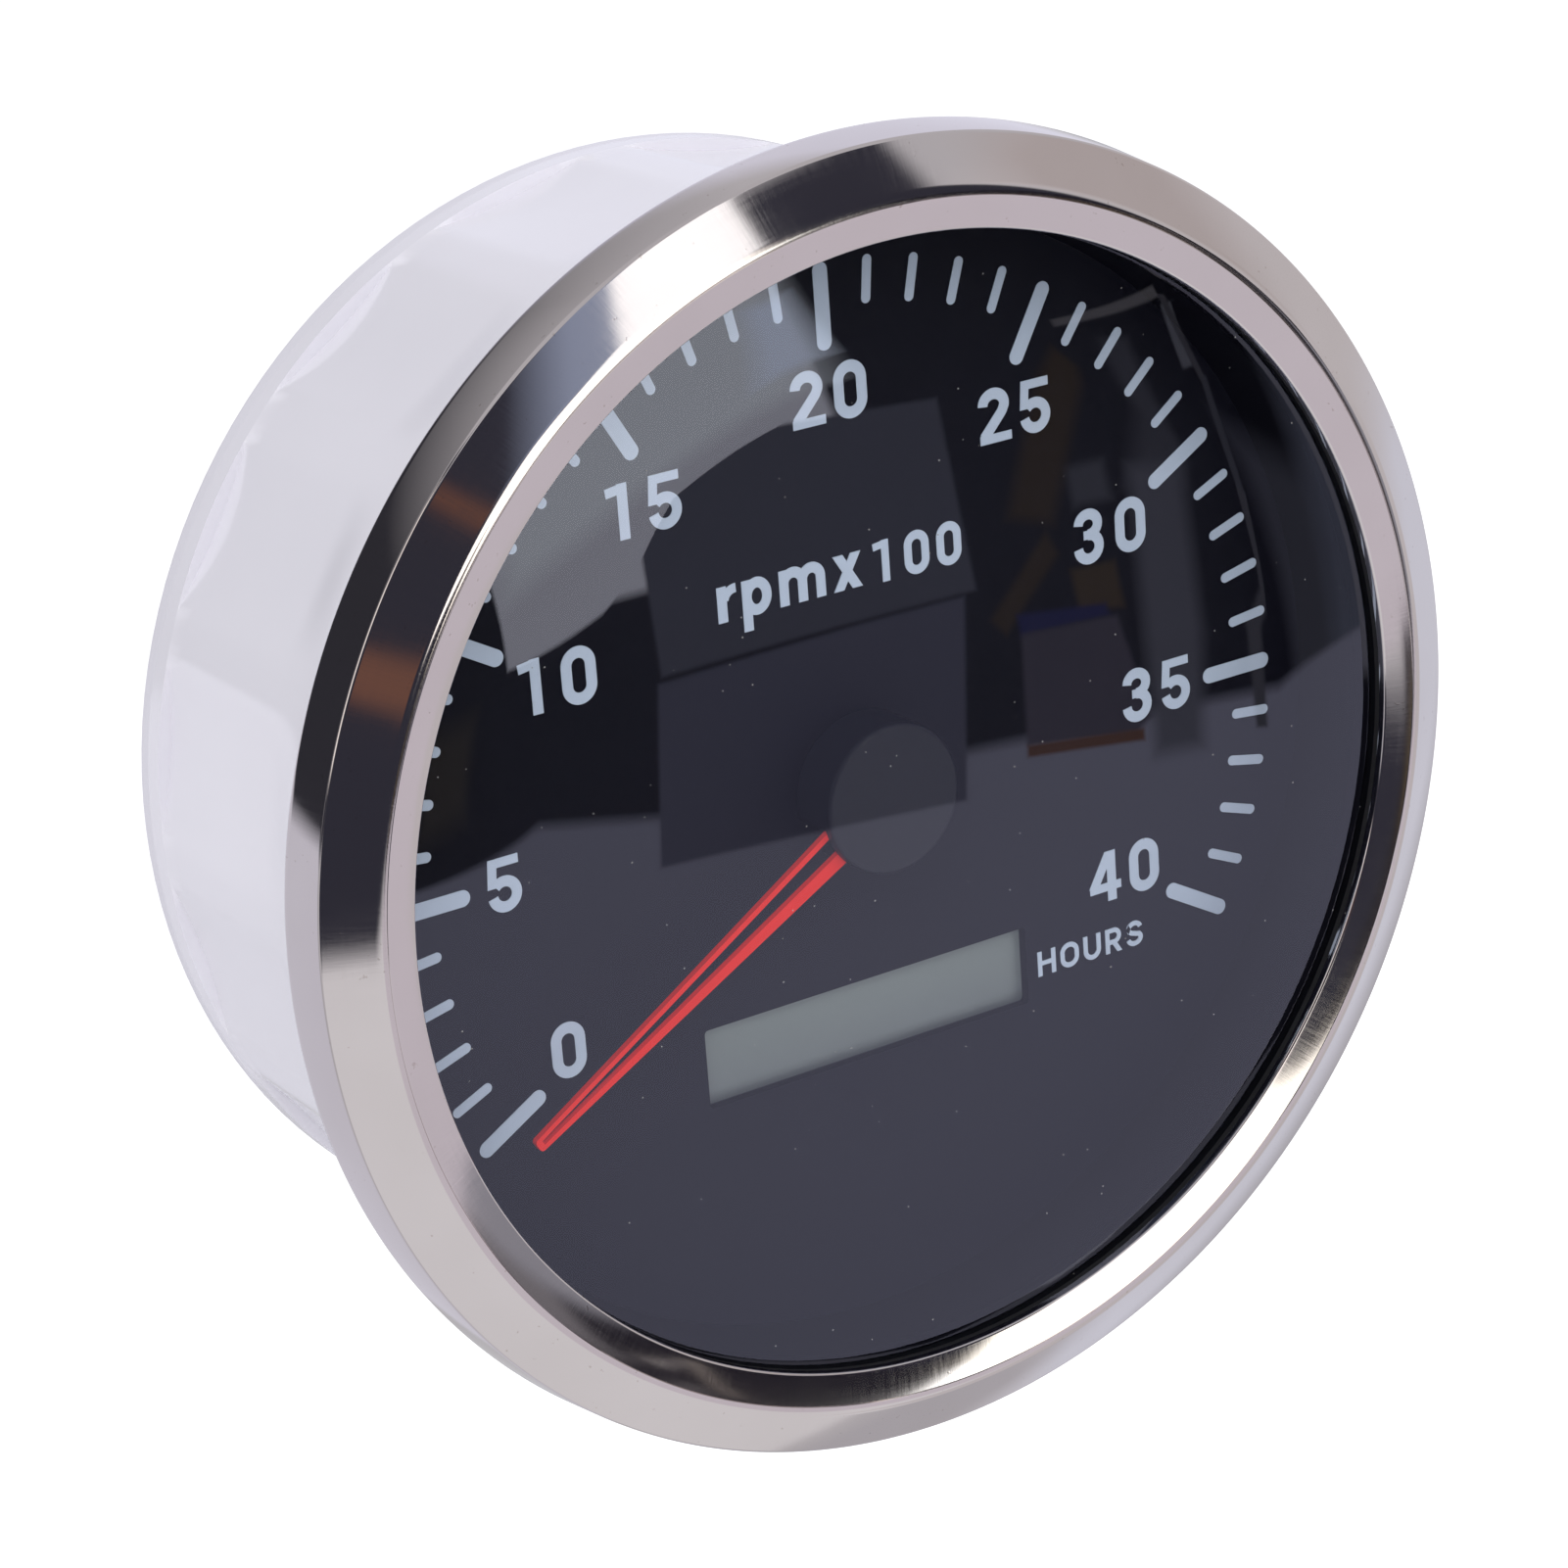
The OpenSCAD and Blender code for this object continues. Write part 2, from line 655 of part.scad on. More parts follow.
// Two sheets of glass; the front one stops short to leave the contact ledge
module lcd_panel() {
    color("#7b8480") facing_out() translate(window_centre) {
        between(glass_back, (glass_back + dial_back) / 2) plate([glass_w, glass_h], 0.1);
        between((glass_back + dial_back) / 2, dial_back) translate([0, ledge_w / 2])
            plate([glass_w, glass_h - ledge_w], 0.1);
    }
}

module lcd_contact_strips() {
    color("#e08fa0") facing_out() translate(window_centre) between(board_front, glass_back)
        for (side = [-1, 1]) translate([0, side * (glass_h / 2 - strip_w / 2 - loose_gap)])
            plate([glass_w - 2 * strip_end, strip_w], 0.2);
}

module circuit_board() {
    color("#1f6b4a") facing_out() between(board_back, board_front) difference() {
        circle(board_r);
        circle(bearing_d / 2 + hole_gap);
        for (p = post_places) translate(p) circle(board_screw_d / 2 + hole_gap);
        for (p = peg_places) translate(p) circle(peg_d / 2 + hole_gap);
        for (x = terminals) translate([x, terminal_y]) circle(terminal_w * half_diagonal + hole_gap);
        for (p = pin_places) translate(p) circle(pin_w * half_diagonal + hole_gap);
    }
}

module backlight_leds() {
    color("#f4f2d8") facing_out() for (a = led_angles)
        rotate(a) translate([led_radius, 0]) between(board_front, board_front + led_h)
            plate([led_w * 0.8, led_w], 0.3);
}

module microcontroller() {
    color("#26262a") facing_out() translate(chip_at) {
        between(board_back, board_back - chip_t) plate([chip_w, chip_w], 0.3);
        for (side = [0:3], i = [-3.5:3.5]) rotate(90 * side) between(board_back, board_back - lead_t)
            translate([chip_w / 2, i * lead_pitch - lead_w / 2]) square([lead_out, lead_w]);
    }
}

module voltage_regulator() {
    color("#303034") facing_out() translate(regulator_at) {
        between(board_back, board_back - regulator_t) plate([regulator_w, regulator_w], 0.2);
        between(board_back, board_back - tab_t) translate([-regulator_w * 0.4, regulator_w / 2])
            square([regulator_w * 0.8, tab_out]);
    }
}

module capacitor() {
    r = capacitor_d / 2;
    color("#b8bcc2") facing_out() translate([capacitor_at.x, capacitor_at.y, board_back])
        rotate([180, 0, 0]) ring_section([[0, 0, 0], [r, 0, 0.2], [r, bead_z - bead_depth, 0],
            [r - bead_depth, bead_z, 0], [r, bead_z + bead_depth, 0],
            [r, capacitor_h, 0.5], [0, capacitor_h, 0]]);
}

module board_screws() {
    color("#b9bcc0") facing_out() for (p = post_places)
        translate([p.x, p.y, board_back]) screw(board_screw_d, board_screw_len - pivot_play);
}

module connector_shell() {
    body_front = floor_z + socket_floor;
    color("#1b1b1f") facing_out() translate(socket_centre) difference() {
        union() {
            between(mouth_z, body_front) plate(socket_size, 1);
            between(case_back, case_back + socket_flange_t) plate(flange_size, 1.2);
            between(mouth_z + latch_len, mouth_z + 2 * latch_len)
                translate([0, socket_h / 2]) plate(latch_size, 0.3);
        }
        between(mouth_z - past, floor_z) plate(cavity, 0.6);
        for (p = pin_places) translate(p - socket_centre) between(floor_z - past, body_front + past)
            square(pin_w, center = true);
    }
}

module connector_pins() {
    color("#d8b25a") facing_out() for (p = pin_places) translate(p)
        between(floor_z - pin_reach, board_front) square(pin_w, center = true);
}

// Cylinder along the case that cuts one flute, with a cone at its front end for the run-out
module flute_cutter() {
    slope = flute_depth / flute_runout;
    extra = flute_runout * 1.3;
    translate([flute_axis_r, 0, ledge_z]) {
        cylinder(r = flute_r, h = -flute_front - flute_runout - ledge_z);
        translate([0, 0, -flute_front - flute_runout - ledge_z])
            cylinder(r1 = flute_r, r2 = flute_r - extra * slope, h = extra);
    }
}

// Case: a cup with a flange for the bezel, open at the back, with flutes moulded into its side
module case() {
    color("#e6e4ef") facing_out() difference() {
        union() {
            difference() {
                ring_section([
                    [rebate_r, rim_h, 0], [flange_r, rim_h, 0.3], [flange_r, sheet_t, 0],
                    [neck_r, sheet_t, 0], [neck_r, 0, 0], [case_r, 0, 0],
                    [case_r, -flute_front, 0], [case_back_r, case_back, 0],
                    [case_bore_r, case_back, 0], [case_bore_r, shelf_z, 0],
                    [front_bore_r, shelf_z, 0], [front_bore_r, lens_back, 0],
                    [rebate_r, lens_back, 0]]);
                for (i = [0:flute_count - 1])
                    rotate(ridge_start + (i + 0.5) * 360 / flute_count) flute_cutter();
            }
            for (a = cover_screw_angles) rotate(a) between(case_back, case_back + cover_boss_len) {
                translate([cover_screw_radius, 0]) circle(cover_boss_d / 2);
                web(cover_screw_radius + cover_boss_d / 2, case_bore_r, boss_web_t);
            }
        }
        for (a = cover_screw_angles) rotate(a) translate([cover_screw_radius, 0])
            disc(case_back - past, cover_back + cover_screw_len + 1, cover_screw_d / 2 + running_gap);
    }
}

module rear_cover() {
    color("#d9d7e2") facing_out() difference() {
        union() {
            ring_section([[0, case_back, 0], [case_back_r, case_back, 0],
                [case_back_r, cover_back, 0.4], [0, cover_back, 0]]);
            difference() {
                disc(case_back, case_back + locating_depth, case_bore_r - loose_gap);
                disc(case_back - past, case_back + locating_depth + past,
                    case_bore_r - loose_gap - locating_t);
                for (a = cover_screw_angles) rotate(a)
                    translate([cover_screw_radius, 0])
                        disc(case_back - past / 2, case_back + locating_depth + past,
                            cover_boss_d / 2 + 6 * loose_gap);
                translate(socket_centre) between(case_back - past, case_back + locating_depth + past)
                    plate(flange_size + [1, 1] * 6 * loose_gap, 1.2);
            }
            for (side = [-1, 1]) translate([side * stud_spacing / 2, 0])
                disc(case_back, case_back + stud_boss_h, stud_boss_d / 2);
        }
        for (a = cover_screw_angles) rotate(a) translate([cover_screw_radius, 0])
            disc(cover_back - past, case_back + past / 2, cover_screw_d / 2 + hole_gap);
        for (side = [-1, 1]) translate([side * stud_spacing / 2, 0]) {
            disc(cover_back - past, case_back + stud_boss_h + past, stud_d / 2 + shank_step);
            disc(case_back + stud_boss_h - stud_head_h, case_back + stud_boss_h + past,
                stud_head_d / 2, $fn = 6);
        }
        translate(socket_centre) between(cover_back - past, case_back + locating_depth + past)
            plate(socket_size + [1, 1] * 2 * loose_gap, 1);
    }
}

module cover_screws() {
    color("#b9bcc0") facing_out() for (a = cover_screw_angles)
        rotate(a) translate([cover_screw_radius, 0, cover_back]) screw(cover_screw_d, cover_screw_len);
}

module mounting_studs() {
    head_back = case_back + stud_boss_h - stud_head_h;
    stud_bevel = 0.5;
    color("#c4c6c9") facing_out() for (side = [-1, 1]) translate([side * stud_spacing / 2, 0]) {
        disc(cover_back - stud_len + stud_bevel, cover_back, stud_d / 2);
        disc(cover_back, head_back, stud_d / 2 + shank_step);
        translate([0, 0, cover_back - stud_len])
            cylinder(r1 = stud_d / 2 - stud_bevel, r2 = stud_d / 2, h = stud_bevel);
        disc(head_back, head_back + stud_head_h, stud_head_d / 2, $fn = 6);
    }
}

module movement_outline(inset) {
    x = movement_x - inset;
    low = -movement_low + inset;
    high = movement_high - inset;
    r = 3 - inset;
    polygon(rounded([[-x, low, r], [x, low, r], [x, high, r], [-x, high, r]]));
}

module movement_front_shell() {
    color("#ececec") facing_out() difference() {
        union() {
            between(plate_back, board_back) movement_outline(0);
            disc(board_back, board_back + bearing_len, bearing_d / 2);
            rotate(stop_angle) between(plate_back - lug_h, plate_back + front_plate_t / 2)
                translate([stop_radius, 0]) square(lug_size, center = true);
            for (p = peg_places) translate(p) disc(board_back, pin_end, peg_d / 2);
        }
        disc(plate_back - past, board_back + bearing_len + past, shaft_d / 2 + running_gap);
        for (p = [middle_at, rotor_at]) translate(p)
            disc(plate_back - past, plate_back + pivot_depth, pivot_d / 2 + running_gap);
        for (x = terminals) translate([x, terminal_y]) between(plate_back - past, board_back + past)
            square(terminal_w + 2 * hole_gap, center = true);
    }
}

module movement_rear_shell() {
    color("#dcdcdc") facing_out() difference() {
        union() {
            difference() {
                between(movement_back, plate_back) movement_outline(0);
                between(floor_front, plate_back + past) movement_outline(shell_wall);
            }
            disc(floor_front, output_back - 2 * hub_play, shaft_d / 2 + bush_wall);
            translate(middle_at) disc(floor_front, middle_back - wheel_gap, pivot_d / 2 + bush_wall);
            for (side = [-1, 1]) translate([side * (tab_start + tab_end) / 2, rotor_distance])
                disc(floor_front, stator_back, stator_post_r);
        }
        disc(movement_back + pivot_depth, output_back, shaft_d / 2 + running_gap);
        translate(middle_at)
            disc(middle_back - wheel_gap - bush_depth, middle_back, pivot_d / 2 + running_gap);
        translate(rotor_at)
            disc(floor_front - pivot_depth, floor_front + past, pivot_d / 2 + running_gap);
    }
}

module movement_pins() {
    color("#c9ccd0") facing_out() for (x = terminals) translate([x, terminal_y])
        between(leg_z, pin_end) square(terminal_w, center = true);
}

// Flat plate with the ring round the rotor, the two legs for the coils and the end tabs
module stator_plate() {
    color("#8f9499") facing_out() between(stator_back, stator_front) difference() {
        union() {
            translate(rotor_at) square([2 * tab_end, leg_w], center = true);
            translate(rotor_at) circle(stator_ring_d / 2);
            for (side = [-1, 1]) translate([side * (tab_start + tab_end) / 2, 0])
                translate([-(tab_end - tab_start) / 2, rotor_distance - leg_w / 2])
                    square([tab_end - tab_start, yoke_y + yoke_w - rotor_distance + leg_w / 2]);
        }
        translate(rotor_at) circle(magnet_d / 2 + air_gap);
    }
}

module stator_yoke() {
    color("#a2a6ab") facing_out() between(stator_front, stator_front + yoke_t)
        translate([-tab_end, yoke_y]) square([2 * tab_end, yoke_w]);
}

// A tube on one leg with a flange at each end; the flanges reach up to hold the terminals
module bobbin(side) {
    facing_out() translate([0, rotor_distance, leg_z]) mirror([side < 0 ? 1 : 0, 0, 0]) difference() {
        union() {
            translate([bobbin_start, 0, 0]) along_leg(bobbin_len) plate(tube_size, 0.2);
            for (x = [bobbin_start, bobbin_end - flange_t])
                translate([x, -bobbin_size.x / 2, -bobbin_size.y / 2])
                    cube([flange_t, terminal_y - rotor_distance + terminal_w + bobbin_size.x / 2,
                        bobbin_size.y]);
        }
        translate([bobbin_start - past, 0, 0]) along_leg(bobbin_len + 2 * past)
            square([leg_w, stator_t] + [1, 1] * loose_gap, center = true);
        for (x = [bobbin_start, bobbin_end - flange_t])
            translate([x + flange_t / 2, terminal_y - rotor_distance, 0])
                between(0, bobbin_size.y) square(terminal_w, center = true);
    }
}

// Extrudes a section given as [across the leg, through the plate] along +X
module along_leg(length) {
    rotate([90, 0, 90]) linear_extrude(length) children();
}

module coil(side) {
    facing_out() translate([0, rotor_distance, leg_z]) mirror([side < 0 ? 1 : 0, 0, 0])
        translate([bobbin_start + flange_t, 0, 0]) along_leg(bobbin_len - 2 * flange_t) difference() {
            plate(coil_size, 0.7);
            plate(tube_size, 0.2);
        }
}

module left_bobbin() {
    color("#2b2b30") bobbin(-1);
}

module right_bobbin() {
    color("#2b2b30") bobbin(1);
}

module left_coil() {
    color("#b5672f") coil(-1);
}

module right_coil() {
    color("#b5672f") coil(1);
}

module rotor_pinion() {
    color("#f0efe8") facing_out() translate(rotor_at) {
        disc(middle_front + wheel_gap, plate_back + pivot_depth - pivot_play, pivot_d / 2);
        between(middle_back - wheel_gap, middle_front + wheel_gap)
            gear(pinion_teeth, rotor_line + 180 + 180 / pinion_teeth);
        disc(magnet_back, middle_back - wheel_gap, spindle_d / 2);
        disc(floor_front - pivot_depth + pivot_play, magnet_back, pivot_d / 2);
    }
}

module rotor_magnet() {
    color("#3a3c40") facing_out() translate(rotor_at) between(magnet_back, magnet_front) difference() {
        circle(magnet_d / 2);
        circle(spindle_d / 2);
    }
}

module middle_wheel() {
    color("#e8e6dc") facing_out() translate(middle_at) {
        disc(plate_back - hub_play, plate_back + pivot_depth - pivot_play, pivot_d / 2);
        disc(output_front + wheel_gap, plate_back - hub_play, pivot_d / 2 + hub_step);
        between(middle_front, output_front + wheel_gap)
            gear(pinion_teeth, output_line + 180 + 180 / pinion_teeth);
        between(middle_back, middle_front) gear(middle_teeth, rotor_line);
        disc(middle_back - wheel_gap - bush_depth + pivot_play, middle_back, pivot_d / 2);
    }
}

// Wheel on the pointer's shaft, with a lug that meets the stop in the front shell at zero
module output_wheel() {
    color("#f2f0e6") facing_out() difference() {
        union() {
            between(output_back, output_front) gear(output_teeth, output_line);
            disc(output_back - hub_play, plate_back - hub_play, shaft_d / 2 + bush_wall);
            between(output_front, output_front + lug_h)
                translate([stop_radius, 0]) square(lug_size, center = true);
        }
        disc(output_back - past, plate_back + past, shaft_d / 2);
    }
}

module pointer_shaft() {
    color("#c8cbce") facing_out()
        disc(movement_back + pivot_depth + pivot_play, blade_front - loose_gap, shaft_d / 2);
}

// Pointer: root disc under the cap, hub on the shaft and a slotted arm, drawn at zero on the scale
module pointer_blade() {
    root_r = cap_d / 2 - cap_wall - loose_gap;
    slot_start = cap_d / 2 - cap_wall / 2;
    slot_end = pointer_len - tip_solid;
    color("#d8332e") facing_out() difference() {
        union() {
            between(blade_back, blade_front) {
                circle(root_r);
                rotate(90 + scale_sweep / 2) difference() {
                    polygon(rounded([[0, -blade_root_w / 2, 0], [pointer_len, -blade_tip_w / 2, 0.3],
                        [pointer_len, blade_tip_w / 2, 0.3], [0, blade_root_w / 2, 0]]));
                    polygon([[slot_start, -slot_offset - slot_root_w / 2], [slot_end, -slot_tip_w / 2],
                        [slot_end, slot_tip_w / 2], [slot_start, slot_root_w / 2 - slot_offset]]);
                }
            }
            disc(cap_back, blade_back, hub_d / 2);
        }
        disc(cap_back - past, blade_front + past, shaft_d / 2);
    }
}

// Cap: a cup over the pointer's root, with a notch for the arm
module pointer_cap() {
    cap_r = cap_d / 2;
    color("#1d1d22") facing_out() difference() {
        ring_section([[0, cap_front, 0], [cap_r, cap_front, 0.35], [cap_r, cap_back, 0],
            [cap_r - cap_wall, cap_back, 0], [cap_r - cap_wall, blade_front, 0],
            [0, blade_front, 0]]);
        rotate(90 + scale_sweep / 2) between(cap_back - past, blade_front)
            translate([0, -blade_root_w / 2 - loose_gap / 2])
                square([cap_r + past, blade_root_w + loose_gap]);
    }
}

bezel();
lens_gasket();
lens();
spacer_ring();
dial();
scale_marks();
light_guide();
inner_frame();
lcd_holder();
lcd_panel();
lcd_contact_strips();
circuit_board();
backlight_leds();
microcontroller();
voltage_regulator();
capacitor();
board_screws();
connector_shell();
connector_pins();
case();
rear_cover();
cover_screws();
mounting_studs();
movement_front_shell();
movement_rear_shell();
movement_pins();
stator_plate();
stator_yoke();
left_bobbin();
right_bobbin();
left_coil();
right_coil();
rotor_pinion();
rotor_magnet();
middle_wheel();
output_wheel();
pointer_shaft();
pointer_blade();
pointer_cap();
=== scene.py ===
# Panel tachometer for a boat: finishes, printing, small pieces and the studio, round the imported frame
import math

import bmesh
import bpy
from mathutils import Matrix, Vector


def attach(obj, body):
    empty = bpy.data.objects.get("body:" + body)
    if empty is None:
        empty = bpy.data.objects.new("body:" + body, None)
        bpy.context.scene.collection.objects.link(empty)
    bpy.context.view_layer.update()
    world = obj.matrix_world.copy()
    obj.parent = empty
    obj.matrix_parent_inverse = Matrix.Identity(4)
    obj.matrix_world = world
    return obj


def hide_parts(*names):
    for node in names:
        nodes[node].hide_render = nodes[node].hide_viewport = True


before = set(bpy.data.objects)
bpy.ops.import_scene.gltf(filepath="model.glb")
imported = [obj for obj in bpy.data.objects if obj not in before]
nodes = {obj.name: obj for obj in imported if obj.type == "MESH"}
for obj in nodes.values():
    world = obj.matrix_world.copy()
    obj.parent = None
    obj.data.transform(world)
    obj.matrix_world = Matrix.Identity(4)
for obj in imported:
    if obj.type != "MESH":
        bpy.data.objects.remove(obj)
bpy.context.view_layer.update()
scene = bpy.context.scene
millimetre = 0.001
print("frame loaded,", len(nodes), "nodes")


# A socket that can be used in plain sums; each operator adds one Math node
class Wire:
    def __init__(self, sheet, socket):
        self.sheet = sheet
        self.socket = socket

    def math(self, operation, *others, clamp=False):
        values = dict(enumerate((self, *others)))
        return self.sheet.add("Math", {"operation": operation, "use_clamp": clamp}, values)

    def __add__(self, other):
        return self.math("ADD", other)

    __radd__ = __add__

    def __sub__(self, other):
        return self.math("SUBTRACT", other)

    def __rsub__(self, other):
        return self.sheet.add("Math", {"operation": "SUBTRACT"}, {0: other, 1: self})

    def __mul__(self, other):
        return self.math("MULTIPLY", other)

    __rmul__ = __mul__

    def __neg__(self):
        return self.math("MULTIPLY", -1.0)

    def clamped(self):
        return self.math("ADD", 0.0, clamp=True)

    def rises(self, edge, softness):  # 0 below the edge, 1 above it
        return self.math("MULTIPLY_ADD", 1.0 / softness, 0.5 - edge / softness, clamp=True)

    def falls(self, edge, softness):  # 1 below the edge, 0 above it
        return self.math("MULTIPLY_ADD", -1.0 / softness, 0.5 + edge / softness, clamp=True)


# The node tree of a material or the world
class Sheet:
    def __init__(self, owner):
        owner.use_nodes = True
        self.tree = owner.node_tree
        self.tree.nodes.clear()

    def add(self, kind, settings=None, values=None, output=0):
        node = self.tree.nodes.new("ShaderNode" + kind)
        for name, setting in (settings or {}).items():
            setattr(node, name, setting)
        for name, value in (values or {}).items():
            socket = node.inputs[name]
            if isinstance(value, Wire):
                self.tree.links.new(value.socket, socket)
            elif isinstance(value, (tuple, list)) and socket.type == "RGBA":
                socket.default_value = (*value, 1.0)
            else:
                socket.default_value = value
        return Wire(self, node.outputs[output]) if node.outputs else None

    def position(self):  # object coordinates in millimetres
        place = self.add("TexCoord", output="Object")
        return self.add("VectorMath", {"operation": "SCALE"}, {0: place, "Scale": 1 / millimetre})

    def axes(self, vector):  # x, y and z as three wires
        return [self.add("SeparateXYZ", None, {0: vector}, axis) for axis in "XYZ"]

    def join(self, x, y, z):
        return self.add("CombineXYZ", None, {0: x, 1: y, 2: z})

    def noise(self, vector, scale, detail=3.0, roughness=0.5):
        return self.add("TexNoise", None, {"Vector": vector, "Scale": scale, "Detail": detail,
                                           "Roughness": roughness})

    def blend(self, factor, first, second):
        settings = {"data_type": "RGBA", "clamp_factor": True}
        return self.add("Mix", settings, {0: factor, 6: first, 7: second}, 2)

    def bump(self, height, strength, distance):
        return self.add("Bump", None, {"Strength": strength, "Distance": distance, "Height": height})

    def finish(self, kind, shader):
        self.add("Output" + kind, None, {"Surface": shader})


def newMaterial(name):
    material = bpy.data.materials.new(name)
    return material, Sheet(material)


# Camera at the photograph's place; the picture is square
cameraPlace = {"lens": 103.0, "film": 36.0, "location": (-0.16266, -0.24499, 0.10927),
               "right": (0.83027, -0.55293, -0.07005), "up": (0.24602, 0.2508, 0.93626),
               "back": (-0.50012, -0.79458, 0.34426), "near": 0.01, "far": 20.0}


def placeCamera(place):
    data = bpy.data.cameras.new("studioCamera")
    data.lens, data.sensor_width, data.sensor_height = place["lens"], place["film"], place["film"]
    data.clip_start, data.clip_end = place["near"], place["far"]
    camera = bpy.data.objects.new("studioCamera", data)
    turn = Matrix((place["right"], place["up"], place["back"])).transposed().to_4x4()
    camera.matrix_world = Matrix.Translation(place["location"]) @ turn
    scene.collection.objects.link(camera)
    scene.camera = camera


placeCamera(cameraPlace)
scene.view_settings.view_transform = "Standard"
print("camera placed")

# What the polished metal and the lens mirror: soft-edged patches of a studio, in degrees round the
# gauge's face and above it, each laid over the ones before
roomColour = (0.62, 0.61, 0.64)
plainRoom = (0.62, 0.62, 0.64)  # what lights everything that isn't a mirror
whiteGround = (1.0, 1.0, 1.0)
roomBoxes = [  # from and to round the face, from and to above it, softness, colour
    ((-60, 60), (-89, -19), 3, (0.87, 0.86, 0.89)),  # table
    ((44, 130), (-58, 26), 6, (0.70, 0.67, 0.69)),  # pale wall
    ((84, 105), (-58, -4), 8, (0.8, 0.82, 0.93)),
    ((50, 72), (2, 30), 8, (0.58, 0.53, 0.53)),
    ((66, 90), (-75, -54), 7, (0.55, 0.54, 0.58)),
    ((101, 154), (-80, -7), 7, (0.53, 0.53, 0.58)),
    ((128, 182), (-3, 34), 8, (0.84, 0.84, 0.97)),
    ((-190, -100), (-30, 40.5), 30, (0.035, 0.035, 0.045)),
    ((-190, -100), (-89, -5), 3, (0.74, 0.73, 0.82)),
    ((-60, 42), (-19, 37), 2.5, (0.038, 0.038, 0.055)),  # dark room
    ((-100, -52), (-4, 52), 4, (0.05, 0.05, 0.065)),
    ((-90, -64), (6, 46), 5, (1.2, 1.12, 1.07)),  # side window
    ((-4, 9), (14, 44), 8, (0.33, 0.38, 0.52)),
]
